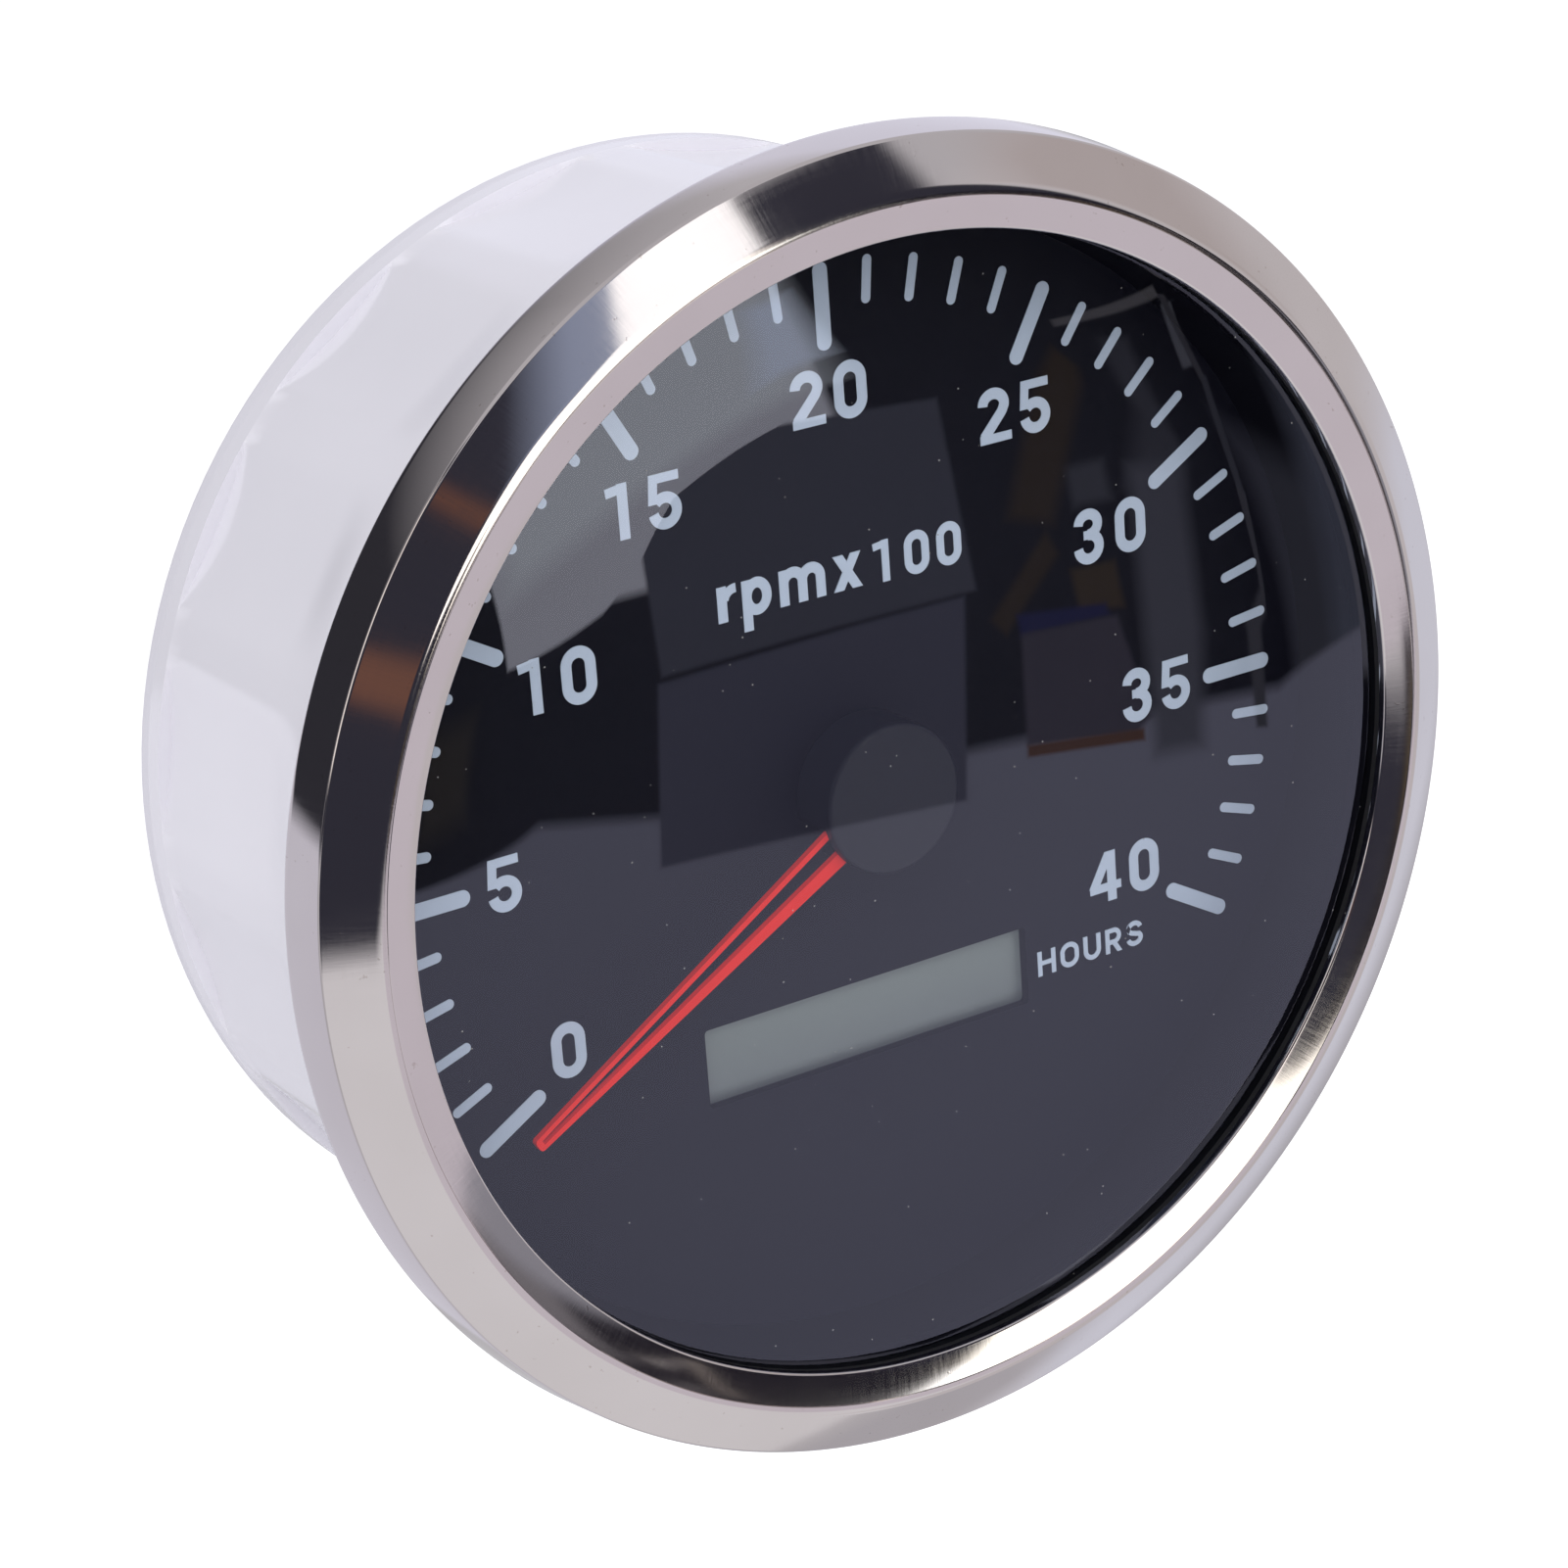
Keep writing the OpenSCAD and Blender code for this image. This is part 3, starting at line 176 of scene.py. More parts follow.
roomPatches = [  # softness, colour, corners in their order round the patch
    # wooden posts
    (1.3, (0.17, 0.08, 0.058), [(-4.1, 12.2), (-5.3, 10.6), (-18.1, 20.2), (-16.9, 21.8)]),
    (1.8, (0.2, 0.096, 0.07), [(-11.3, 2.2), (-13.1, -2.0), (-27.9, 4.4), (-26.1, 8.6)]),
    # softbox, its upper part
    (1.3, (1.7, 1.7, 1.72), [(24.2, 11.5), (22.3, 34), (21, 48), (5.5, 48), (5.5, 28), (8, 11.5)]),
    (1.3, (2.2, 2.1, 2.0), [(28.3, -3), (24, 12.5), (1, 14), (2, -5), (14, -8)]),
    # far dark wall, with paler strips on it
    (0.8, (0.02, 0.018, 0.026), [(18, -5), (54, -5), (54, -21.9), (18, -21.9)]),
    (1.4, (0.21, 0.2, 0.22), [(40.7, -14.3), (45.5, -14.3), (45.5, -21.9), (40.7, -21.9)]),
    (2.0, (0.33, 0.33, 0.38), [(44.8, -8.5), (54, -8.5), (54, -19), (44.8, -19)]),
    (0.9, (0.125, 0.095, 0.055), [(19.09, -16.19), (22.32, -16.7), (22.52, -19.02),
     (19.09, -19.01)]),
    # table's edge
    (0.2, (0.75, 0.70, 0.77), [(9.5, -19.9), (31, -20.45), (31, -40), (9.5, -40)]),
    (0.2, (0.75, 0.70, 0.77), [(28.9, -20.75), (54, -17.0), (54, -40), (28.9, -40)]),
    # softbox, its lower part
    (0.15, (2.3, 2.15, 2.0), [(28.2, -2.67), (33.26, -15.6), (30.89, -17.42), (29.68, -17.62),
     (24.09, -16.25), (21.82, -13.47), (15.59, -5.68)]),
    (1.4, (2.9, 2.85, 2.55), [(28.2, -2.67), (32.61, -13.99), (28.68, -14.18), (22.83, -13.77),
     (15.59, -5.68)]),
    (0.8, (3.3, 3.4, 3.4), [(30.3, -7.72), (32.31, -12.37), (30.9, -12.57), (29.09, -7.72)]),
    # two cards
    (0.07, (0.26, 0.25, 0.28), [(30.32, -15.69), (34.57, -15.3), (34.95, -17.83), (30.6, -18.63)]),
    (0.07, (0.29, 0.27, 0.33), [(30.54, -18.72), (34.79, -17.9), (34.66, -20.5), (30.39, -21.08)]),
    # shelf
    (0.12, (0.45, 0.40, 0.36), [(36.9, -11.97), (36.9, -12.33), (40.89, -9.56), (40.89, -9.05)]),
    (0.12, (0.42, 0.4, 0.4), [(40.79, -9.96), (41.29, -9.66), (40.68, -12.38), (40.17, -12.69)]),
    # post, and a thin frame beside it
    (0.35, (0.17, 0.16, 0.17), [(37.86, -12.58), (38.76, -12.08), (37.8, -16.52), (37.09, -16.52)]),
    (0.25, (0.33, 0.31, 0.33), [(37.09, -16.32), (37.8, -16.32), (37.99, -18.44), (37.94, -19.95),
     (37.28, -20.05)]),
    (0.1, (0.22, 0.2, 0.2), [(40.89, -9.46), (41.19, -9.36), (40.98, -12.69), (40.68, -12.89)]),
    (0.1, (0.2, 0.19, 0.2), [(40.78, -12.69), (41.08, -12.59), (40.02, -16.02), (39.61, -16.22)]),
    (0.08, (0.24, 0.22, 0.22), [(39.66, -16.02), (40.07, -16.02), (38.8, -18.44), (38.6, -18.44)]),
    (0.06, (0.24, 0.22, 0.22), [(38.6, -18.34), (38.8, -18.34), (38.85, -19.75), (38.7, -19.75)]),
    # small grey, brown and blue things
    (0.15, (0.22, 0.21, 0.22), [(36.23, -16.31), (36.74, -16.21), (36.84, -16.72),
     (36.33, -16.82)]),
    (0.2, (0.14, 0.08, 0.025), [(36.54, -13.49), (36.74, -14.4), (36.03, -17.02), (35.43, -16.92),
     (35.83, -15.41)]),
    (0.1, (0.14, 0.08, 0.025), [(35.93, -17.12), (36.08, -17.42), (35.32, -18.43),
     (35.12, -18.23)]),
    (0.1, (0.2, 0.12, 0.04), [(36.23, -17.63), (36.84, -17.53), (36.94, -18.13), (36.33, -18.18)]),
    (0.08, (0.05, 0.05, 0.22), [(35.47, -18.18), (36.68, -18.08), (36.73, -18.23),
     (35.52, -18.45)]),
    # box
    (0.08, (0.22, 0.18, 0.21), [(35.52, -18.43), (36.83, -18.23), (37.24, -19.55), (37.03, -19.75),
     (35.52, -19.85)]),
    (0.06, (0.4, 0.17, 0.08), [(35.52, -19.85), (37.13, -19.7), (37.13, -19.85), (35.52, -20)]),
]


def softBox(azimuth, elevation, across, up, soft):
    turned = (azimuth - sum(across) / 2).math("WRAP", 180.0, -180.0).math("ABSOLUTE")
    rise = (elevation - sum(up) / 2).math("ABSOLUTE")
    return turned.falls((across[1] - across[0]) / 2, soft) * rise.falls((up[1] - up[0]) / 2, soft)


def softCorners(sheet, place, corners, soft):  # the place is azimuth, elevation and 1
    centre = Vector((sum(c[0] for c in corners), sum(c[1] for c in corners))) / len(corners)
    mask = None
    for first, second in zip(corners, corners[1:] + corners[:1]):
        along = Vector(second) - Vector(first)
        normal = Vector((-along.y, along.x)).normalized()
        if normal.dot(centre - Vector(first)) < 0:
            normal = -normal
        edge = (normal.x / soft, normal.y / soft, 0.5 - normal.dot(Vector(first)) / soft)
        inside = sheet.add("VectorMath", {"operation": "DOT_PRODUCT"}, {0: place, 1: edge}, "Value")
        mask = inside if mask is None else mask.math("MINIMUM", inside)
    return mask.clamped()


def paintRoom():
    world = bpy.data.worlds.new("studioRoom")
    scene.world = world
    sheet = Sheet(world)
    x, y, z = sheet.axes(sheet.add("TexCoord", output="Generated"))
    azimuth = x.math("ARCTAN2", -y) * math.degrees(1)
    elevation = z.math("ARCSINE") * math.degrees(1)
    colour = roomColour
    for across, up, soft, paint in roomBoxes:
        colour = sheet.blend(softBox(azimuth, elevation, across, up, soft), colour, paint)
    place = sheet.join(azimuth, elevation, 1.0)
    for soft, paint, corners in roomPatches:
        colour = sheet.blend(softCorners(sheet, place, corners, soft), colour, paint)
    camera = sheet.add("LightPath", output="Is Camera Ray")
    glossy = sheet.add("LightPath", output="Is Glossy Ray")
    painted, plain, white = [sheet.add("Background", None, {"Color": shown, "Strength": 1.0})
                             for shown in (colour, plainRoom, whiteGround)]
    lit = sheet.add("MixShader", None, {0: glossy, 1: plain, 2: painted})
    sheet.finish("World", sheet.add("MixShader", None, {0: camera, 1: lit, 2: white}))


paintRoom()

softboxes = {"keySoftbox": {"place": (-0.7, -0.9, 0.9), "size": 0.9, "power": 9.0},
             "fillSoftbox": {"place": (0.9, -0.7, 0.4), "size": 0.8, "power": 3.5}}


def addSoftbox(name, look):  # a square lamp that faces the gauge
    light = bpy.data.lights.new(name, "AREA")
    light.shape, light.size, light.energy = "SQUARE", look["size"], look["power"]
    lamp = bpy.data.objects.new(name, light)
    lamp.location = look["place"]
    lamp.rotation_euler = (-Vector(look["place"])).to_track_quat("-Z", "Y").to_euler()
    lamp.visible_glossy = False
    scene.collection.objects.link(lamp)


for lampName, lampLook in softboxes.items():
    addSoftbox(lampName, lampLook)

floorLook = {"height": -0.2, "size": 3.0, "colour": (0.82, 0.82, 0.82), "glow": 0.5}


def layFloor(look):
    half = look["size"]
    mesh = bpy.data.meshes.new("studioFloor")
    corners = [(-half, -half), (half, -half), (half, half), (-half, half)]
    mesh.from_pydata([(x, y, look["height"]) for x, y in corners], [], [(0, 1, 2, 3)])
    floor = bpy.data.objects.new("studioFloor", mesh)
    scene.collection.objects.link(floor)
    material, sheet = newMaterial("paleFloor")
    camera = sheet.add("LightPath", output="Is Camera Ray")
    paint = sheet.add("BsdfDiffuse", None, {"Color": look["colour"]})
    glow = sheet.add("Emission", None, {"Color": whiteGround, "Strength": look["glow"]})
    none = sheet.add("Emission", None, {"Color": (0.0, 0.0, 0.0), "Strength": 0.0})
    shown = sheet.add("MixShader", None, {0: camera, 1: none, 2: glow})
    sheet.finish("Material", sheet.add("AddShader", None, {0: paint, 1: shown}))
    mesh.materials.append(material)
    floor.visible_glossy = False


layFloor(floorLook)
print("studio lit")


# Finishes; their noise scales are per millimetre, and the depths of their bumps are in metres
grainDepth = 0.00005
polishDepth = 0.00003
plasticLook = {"shade": 0.94, "cloudScale": 0.12, "grainScale": 9.0, "grainRoughness": 0.6,
               "roughSpread": 0.08, "bump": 0.05, "ior": 1.5, "coat": 0.0, "coatRoughness": 0.05}
metalLook = {"shade": 0.8, "stainScale": 0.3, "stainEdge": 0.55, "stainSoft": 0.3,
             "stretch": (1.0, 1.0, 1.0), "scratchScale": 4.0, "scratchRoughness": 0.65,
             "roughSpread": 0.2, "bump": 0.08}


def mouldedPlastic(name, look):  # faint clouds in the colour and a fine grain
    material, sheet = newMaterial(name)
    place = sheet.position()
    cloud = sheet.noise(place, look["cloudScale"], 2.0)
    grain = sheet.noise(place, look["grainScale"], 3.0, look["grainRoughness"])
    dark = tuple(c * look["shade"] for c in look["colour"])
    colour = sheet.blend(cloud.rises(0.5, 0.5), look["colour"], dark)
    rough = look["roughness"] + (grain - 0.5) * look["roughSpread"]
    values = {"Base Color": colour, "Roughness": rough, "IOR": look["ior"],
              "Normal": sheet.bump(grain, look["bump"], grainDepth),
              "Coat Weight": look["coat"], "Coat Roughness": look["coatRoughness"]}
    sheet.finish("Material", sheet.add("BsdfPrincipled", None, values))
    return material


def workedMetal(name, look):  # stained a little, with fine scratches
    material, sheet = newMaterial(name)
    place = sheet.position()
    drawn = [axis * stretch for axis, stretch in zip(sheet.axes(place), look["stretch"])]
    scratch = sheet.noise(sheet.join(*drawn), look["scratchScale"], 4.0, look["scratchRoughness"])
    stain = sheet.noise(place, look["stainScale"], 3.0)
    dark = tuple(c * look["shade"] for c in look["colour"])
    colour = sheet.blend(stain.rises(look["stainEdge"], look["stainSoft"]), look["colour"], dark)
    rough = look["roughness"] + (scratch - 0.5) * look["roughSpread"]
    values = {"Base Color": colour, "Metallic": 1.0, "Roughness": rough,
              "Normal": sheet.bump(scratch, look["bump"], polishDepth)}
    sheet.finish("Material", sheet.add("BsdfPrincipled", None, values))
    return material


bezelLook = {"colour": (0.665, 0.625, 0.62), "shade": (0.62, 0.58, 0.57), "roughness": 0.075,
             "lineScale": 5.0, "lineTurn": 2.0, "lineSpread": 0.05, "lineDepth": 0.5,
             "brushTurn": 260.0, "brushScale": 0.35, "brushSpread": 0.09, "brushDepth": 0.6,
             "hazeScale": 0.09, "hazeSpread": 0.05, "pitScale": 1.6, "pitEdge": 0.72,
             "pitSoft": 0.04, "pitColour": (0.36, 0.3, 0.26), "pitShare": 0.35, "pitDepth": 0.8,
             "bump": 0.02}


def polishedSteel(name, look):  # polishing lines run round the rim, and fine brushing crosses them
    material, sheet = newMaterial(name)
    place = sheet.position()
    x, y, z = sheet.axes(place)
    radius = (x * x + z * z).math("SQRT")
    turn = x.math("ARCTAN2", z)
    circling = sheet.join(radius * look["lineScale"], turn * look["lineTurn"], y * look["lineScale"])
    across = sheet.join(turn * look["brushTurn"], radius * look["brushScale"], 0.0)
    lines = sheet.noise(circling, 1.0, 4.0, 0.7)
    brush = sheet.noise(across, 1.0, 3.0, 0.7)
    pits = sheet.noise(place, look["pitScale"], 2.0, 0.8).rises(look["pitEdge"], look["pitSoft"])
    haze = sheet.noise(place, look["hazeScale"], 3.0)
    worn = sheet.blend(haze.rises(0.5, 0.6), look["colour"], look["shade"])
    colour = sheet.blend(pits * look["pitShare"], worn, look["pitColour"])
    rough = (look["roughness"] + (lines - 0.5) * look["lineSpread"]
             + (brush - 0.5) * look["brushSpread"] + (haze - 0.5) * look["hazeSpread"])
    relief = lines * look["lineDepth"] + brush * look["brushDepth"] - pits * look["pitDepth"]
    values = {"Base Color": colour, "Metallic": 1.0, "Roughness": rough,
              "Normal": sheet.bump(relief, look["bump"], polishDepth)}
    sheet.finish("Material", sheet.add("BsdfPrincipled", None, values))
    return material


lensLook = {"colour": (0.97, 0.98, 0.98), "ior": 1.49, "gloss": 2.0, "tint": (0.69, 0.74, 0.94),
            "roughness": 0.0, "dustScale": 0.4, "dustRadius": 0.026, "dustSoft": 0.012,
            "dustShare": 0.45, "dust": (0.6, 0.59, 0.58)}


def clearAcrylic(name, look):  # clear, with a mirror's shine at a slant and specks of dust
    material, sheet = newMaterial(name)
    behind = sheet.add("NewGeometry", output="Backfacing")
    mirror = sheet.add("Fresnel", None, {"IOR": look["ior"]}) * look["gloss"] * (1 - behind)
    through = sheet.add("BsdfTransparent", None, {"Color": look["colour"]})
    values = {"Base Color": look["tint"], "Metallic": 1.0, "Roughness": look["roughness"]}
    surface = sheet.add("BsdfPrincipled", None, values)
    clean = sheet.add("MixShader", None, {0: mirror.clamped(), 1: through, 2: surface})
    away = sheet.add("TexVoronoi", None, {"Vector": sheet.position(), "Scale": look["dustScale"]})
    specks = away.falls(look["dustRadius"], look["dustSoft"]) * look["dustShare"]
    dust = sheet.add("BsdfDiffuse", None, {"Color": look["dust"]})
    sheet.finish("Material", sheet.add("MixShader", None, {0: specks, 1: clean, 2: dust}))
    return material


# The display's top and bottom colours are painted shade and its shadow colour is a painted shadow, not
# the glass's own colour
displayLook = {"top": (0.215, 0.242, 0.234), "bottom": (0.155, 0.172, 0.178), "middle": -18.1,
               "fade": 7.0, "shadow": (0.09, 0.1, 0.105), "shadowTop": -20.5, "shadowSoft": 0.8,
               "shadowShare": 0.8, "roughness": 0.3, "roughSpread": 0.06, "grainScale": 6.0}


def displayGlass(name, look):  # painted shade: lighter towards the top and darker towards the bottom, with a painted soft shadow along the lower edge
    material, sheet = newMaterial(name)
    place = sheet.position()
    height = sheet.axes(place)[2]
    # painted shade: the face is blended from the darker bottom colour to the lighter top colour
    face = sheet.blend(height.rises(look["middle"], look["fade"]), look["bottom"], look["top"])
    # painted shadow along the lower edge of the window
    shadow = height.falls(look["shadowTop"], look["shadowSoft"]) * look["shadowShare"]
    grain = sheet.noise(place, look["grainScale"], 2.0)
    values = {"Base Color": sheet.blend(shadow, face, look["shadow"]),
              "Roughness": look["roughness"] + (grain - 0.5) * look["roughSpread"]}
    sheet.finish("Material", sheet.add("BsdfPrincipled", None, values))
    return material


plastics = {
    "gasketRubber": {"colour": (0.012, 0.012, 0.013), "roughness": 0.6, "grainScale": 14.0,
                     "bump": 0.2},
    "spacerGloss": {"colour": (0.005, 0.005, 0.007), "roughness": 0.3, "ior": 1.12},
    "dialLacquer": {"colour": (0.006, 0.006, 0.011), "shade": 0.9, "roughness": 0.55,
                    "bump": 0.004, "ior": 1.18},
    "scaleInk": {"colour": (0.55, 0.62, 0.76), "shade": 0.97, "roughness": 0.5, "grainScale": 12.0},
    "pointerRed": {"colour": (0.93, 0.02, 0.006), "shade": 0.92, "roughness": 0.5, "ior": 1.3},
    "capSatin": {"colour": (0.009, 0.0095, 0.016), "roughness": 0.38, "grainScale": 20.0,
                 "bump": 0.1, "ior": 1.34},
    "holderMoulding": {"colour": (0.02, 0.02, 0.022), "roughness": 0.5},
    "stripRubber": {"colour": (0.62, 0.25, 0.32), "roughness": 0.6},
    "guideAcrylic": {"colour": (0.85, 0.88, 0.9), "roughness": 0.25},
    "frameMoulding": {"colour": (0.78, 0.77, 0.72), "roughness": 0.45},
    "caseMoulding": {"colour": (0.84, 0.825, 0.89), "shade": 0.985, "roughness": 0.2,
                     "roughSpread": 0.04, "coat": 0.4, "bump": 0.01},
    "coverMoulding": {"colour": (0.78, 0.765, 0.83), "shade": 0.98, "roughness": 0.32, "bump": 0.04},
    "boardMask": {"colour": (0.012, 0.13, 0.06), "roughness": 0.35},
    "ledResin": {"colour": (0.85, 0.8, 0.45), "roughness": 0.3},
    "chipEpoxy": {"colour": (0.02, 0.02, 0.022), "roughness": 0.55},
    "socketMoulding": {"colour": (0.015, 0.015, 0.017), "roughness": 0.42, "bump": 0.12},
    "shellMoulding": {"colour": (0.75, 0.75, 0.74), "roughness": 0.4},
    "bobbinMoulding": {"colour": (0.03, 0.03, 0.033), "roughness": 0.45},
    "gearAcetal": {"colour": (0.82, 0.8, 0.73), "roughness": 0.35},
    "magnetFerrite": {"colour": (0.04, 0.042, 0.048), "roughness": 0.5},
}
metals = {
    "canAluminium": {"colour": (0.72, 0.74, 0.76), "roughness": 0.3},
    "screwZinc": {"colour": (0.68, 0.69, 0.7), "roughness": 0.3},
    "studSteel": {"colour": (0.66, 0.66, 0.66), "roughness": 0.26},
    "pinPlating": {"colour": (0.86, 0.63, 0.26), "roughness": 0.24},
    "stampedIron": {"colour": (0.42, 0.43, 0.44), "roughness": 0.4},
    "copperWinding": {"colour": (0.72, 0.3, 0.12), "roughness": 0.3, "stretch": (14.0, 0.4, 0.4)},
    "shaftSteel": {"colour": (0.7, 0.7, 0.71), "roughness": 0.22},
}
finishes = {"bezelSteel": polishedSteel("bezelSteel", bezelLook),
            "clearAcrylic": clearAcrylic("clearAcrylic", lensLook),
            "lcdGlass": displayGlass("lcdGlass", displayLook)}
for finishName, finishLook in plastics.items():
    finishes[finishName] = mouldedPlastic(finishName, {**plasticLook, **finishLook})
for finishName, finishLook in metals.items():
    finishes[finishName] = workedMetal(finishName, {**metalLook, **finishLook})

nodeFinish = {
    "bezel": "bezelSteel", "lens_gasket": "gasketRubber", "lens": "clearAcrylic",
    "spacer_ring": "spacerGloss", "dial": "dialLacquer", "scale_marks": "scaleInk",
    "light_guide": "guideAcrylic", "inner_frame": "frameMoulding", "lcd_holder": "holderMoulding",
    "lcd_panel": "lcdGlass", "lcd_contact_strips": "stripRubber", "circuit_board": "boardMask",
    "backlight_leds": "ledResin", "microcontroller": "chipEpoxy", "voltage_regulator": "chipEpoxy",
    "capacitor": "canAluminium", "board_screws": "screwZinc", "connector_shell": "socketMoulding",
    "connector_pins": "pinPlating", "case": "caseMoulding", "rear_cover": "coverMoulding",
    "cover_screws": "screwZinc", "mounting_studs": "studSteel",
    "movement_front_shell": "shellMoulding", "movement_rear_shell": "shellMoulding",
    "movement_pins": "shaftSteel", "stator_plate": "stampedIron", "stator_yoke": "stampedIron",
    "left_bobbin": "bobbinMoulding", "right_bobbin": "bobbinMoulding",
    "left_coil": "copperWinding", "right_coil": "copperWinding", "rotor_pinion": "gearAcetal",
    "rotor_magnet": "magnetFerrite", "middle_wheel": "gearAcetal", "output_wheel": "gearAcetal",
    "pointer_shaft": "shaftSteel", "pointer_blade": "pointerRed", "pointer_cap": "capSatin",
}
for nodeName, finishName in nodeFinish.items():
    materials = nodes[nodeName].data.materials
    materials.clear()
    materials.append(finishes[finishName])
print("finishes made")


# Points of an outline (across, up, corner radius) with the corners turned into arcs
def roundCorners(points, steps):
    result = []
    count = len(points)
    for place, (across, up, radius) in enumerate(points):
        here = Vector((across, up))
        if radius == 0:
            result.append(here)
            continue
        back = (Vector(points[place - 1][:2]) - here).normalized()
        ahead = (Vector(points[(place + 1) % count][:2]) - here).normalized()
        half = math.acos(max(-1.0, min(1.0, back.dot(ahead)))) / 2
        centre = here + (back + ahead).normalized() * radius / math.sin(half)
        start = here + back * radius / math.tan(half) - centre
        end = here + ahead * radius / math.tan(half) - centre
        turn = start.angle_signed(end)
        for step in range(steps + 1):
            result.append(centre + Matrix.Rotation(-turn * step / steps, 2) @ start)
    return result


# A closed outline of (radius, height in front of the panel), turned about an axis that stands at centre
def turnOutline(piece, outline, segments, centre=(0.0, 0.0), shape=None):
    rings = []
    for step in range(segments):
        angle = 2 * math.pi * step / segments
        ring = []
        for radius, height in outline:
            if radius == 0 and step > 0:  # a point on the axis is made once
                ring.append(rings[0][len(ring)])
                continue
            reach = shape(radius, height, angle) if shape else radius
            ring.append(piece.verts.new(((centre[0] + reach * math.cos(angle)) * millimetre,
                                         -height * millimetre,
                                         (centre[1] + reach * math.sin(angle)) * millimetre)))
        rings.append(ring)
    count = len(outline)
    for step in range(segments):
        ring, following = rings[step], rings[(step + 1) % segments]
        for place in range(count):
            ahead = (place + 1) % count
            corners = []
            for vert in (ring[place], ring[ahead], following[ahead], following[place]):
                if vert not in corners:
                    corners.append(vert)
            if len(corners) > 2:
                piece.faces.new(corners)


def fixPiece(name, mesh):
    made = bpy.data.objects.new(name, mesh)
    scene.collection.objects.link(made)
    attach(made, "gauge")
    return made


def shadePiece(name, mesh, sharp):  # smooth, apart from edges that turn by more than sharp degrees
    mesh.shade_smooth()
    mesh.set_sharp_from_angle(angle=math.radians(sharp))
    return fixPiece(name, mesh)


def closeMesh(name, piece, material):
    mesh = bpy.data.meshes.new(name)
    bmesh.ops.recalc_face_normals(piece, faces=piece.faces)
    piece.to_mesh(mesh)
    piece.free()
    mesh.materials.append(material)
    return mesh


def turnedPiece(name, outline, segments, material):
    piece = bmesh.new()
    turnOutline(piece, outline, segments)
    return shadePiece(name, closeMesh(name, piece, material), 28)


bezelSize = {"outer": 47.5, "bevelOuter": 47.1, "skirt": 4.3, "skirtFoot": 0.9, "skirtRound": 0.65,
             "crest": 6.2, "crestRadius": 43.2, "crestRound": 1.6, "crestStart": -4.0,
             "crestSteps": 8, "crestReach": 0.077, "crestRise": 0.034, "creaseRadius": 43.0,
             "creaseHeight": 5.99, "creaseWidth": 0.05, "creaseDepth": 0.04, "opening": 40.7,
             "lipHeight": 5.57, "lipRound": 0.2, "lipUnderRound": 0.1, "innerRadius": 42.9,
             "innerHeight": 5.0, "sheet": 0.7, "corner": 0.35, "cornerSteps": 6, "curl": 43.3,
             "curlRound": 0.15, "segments": 400}


def makeBezel(size):
    sheet, outer, skirt = size["sheet"], size["outer"], size["skirt"]
    bevel, opening, lip = size["bevelOuter"], size["opening"], size["lipHeight"]
    crease, creaseHeight = size["creaseRadius"], size["creaseHeight"]
    slope = math.atan2(size["crest"] - skirt, bevel - size["crestRadius"])
    first = math.radians(size["crestStart"])
    reach = size["crestRound"]
    middle = (crease + size["crestReach"] - reach * math.sin(first),
              creaseHeight + size["crestRise"] - reach * math.cos(first))
    crest = []  # the rolled top, from the bevel round to the crease
    for step in range(size["crestSteps"] + 1):
        lean = slope + (first - slope) * step / size["crestSteps"]
        crest.append((middle[0] + reach * math.sin(lean), middle[1] + reach * math.cos(lean), 0))
    skirtCorners = [(size["curl"], 0, size["curlRound"]), (outer, 0, size["skirtRound"]),
                    (outer, size["skirtFoot"], 0), (bevel, skirt, size["corner"])]
    lipCorners = [(crease + size["creaseWidth"], creaseHeight - size["creaseDepth"], 0),
                  (crease, creaseHeight, 0), (opening, lip, size["lipRound"]),
                  (opening, lip - sheet, size["lipUnderRound"])]
    innerCorners = [(size["innerRadius"], size["innerHeight"], 0),
                    (bevel - sheet, skirt - size["corner"], 0), (outer - sheet, sheet, 0),
                    (size["curl"], sheet, size["curlRound"])]
    outline = roundCorners(skirtCorners + crest + lipCorners + innerCorners, size["cornerSteps"])
    ring = turnedPiece("bezelRim", outline, size["segments"], finishes["bezelSteel"])
    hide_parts("bezel")


makeBezel(bezelSize)

lensSize = {"radius": 44.5, "back": 2.15, "front": 4.75, "edge": 40.6, "band": 9.2, "fall": 0.35,
            "chamfer": 0.2, "steps": 24, "segments": 256}


def makeLens(size):
    flat = size["edge"] - size["band"]
    rim = size["front"] - size["fall"]
    radius, chamfer = size["radius"], size["chamfer"]
    outline = [(0, size["back"]), (radius - chamfer, size["back"]), (radius, size["back"] + chamfer),
               (radius, rim - chamfer), (radius - chamfer, rim)]
    for step in range(size["steps"] + 1):  # the edge falls away in a shallow curve
        share = step / size["steps"]
        outline.append((size["edge"] - size["band"] * share,
                        size["front"] - size["fall"] * (1 - share) ** 2))
    outline += [(flat * 0.5, size["front"]), (0, size["front"])]
    lens = turnedPiece("clearLens", outline, size["segments"], finishes["clearAcrylic"])
    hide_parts("lens")


makeLens(lensSize)

spacerSize = {"outer": 41.1, "top": 0.4, "foot": 0.5, "face": -4.1, "back": 2.12, "flange": 44.4,
              "flangeThick": 0.1, "segments": 256}


def makeSpacer(size):  # a thin black flange lies under the lens's edge
    under = size["back"] - size["flangeThick"]
    outline = [(size["outer"] - size["foot"], size["face"]), (size["outer"], size["face"]),
               (size["outer"], under), (size["flange"], under), (size["flange"], size["back"]),
               (size["outer"] - size["top"], size["back"])]
    wall = turnedPiece("spacerWall", outline, size["segments"], finishes["spacerGloss"])
    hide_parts("spacer_ring")


makeSpacer(spacerSize)

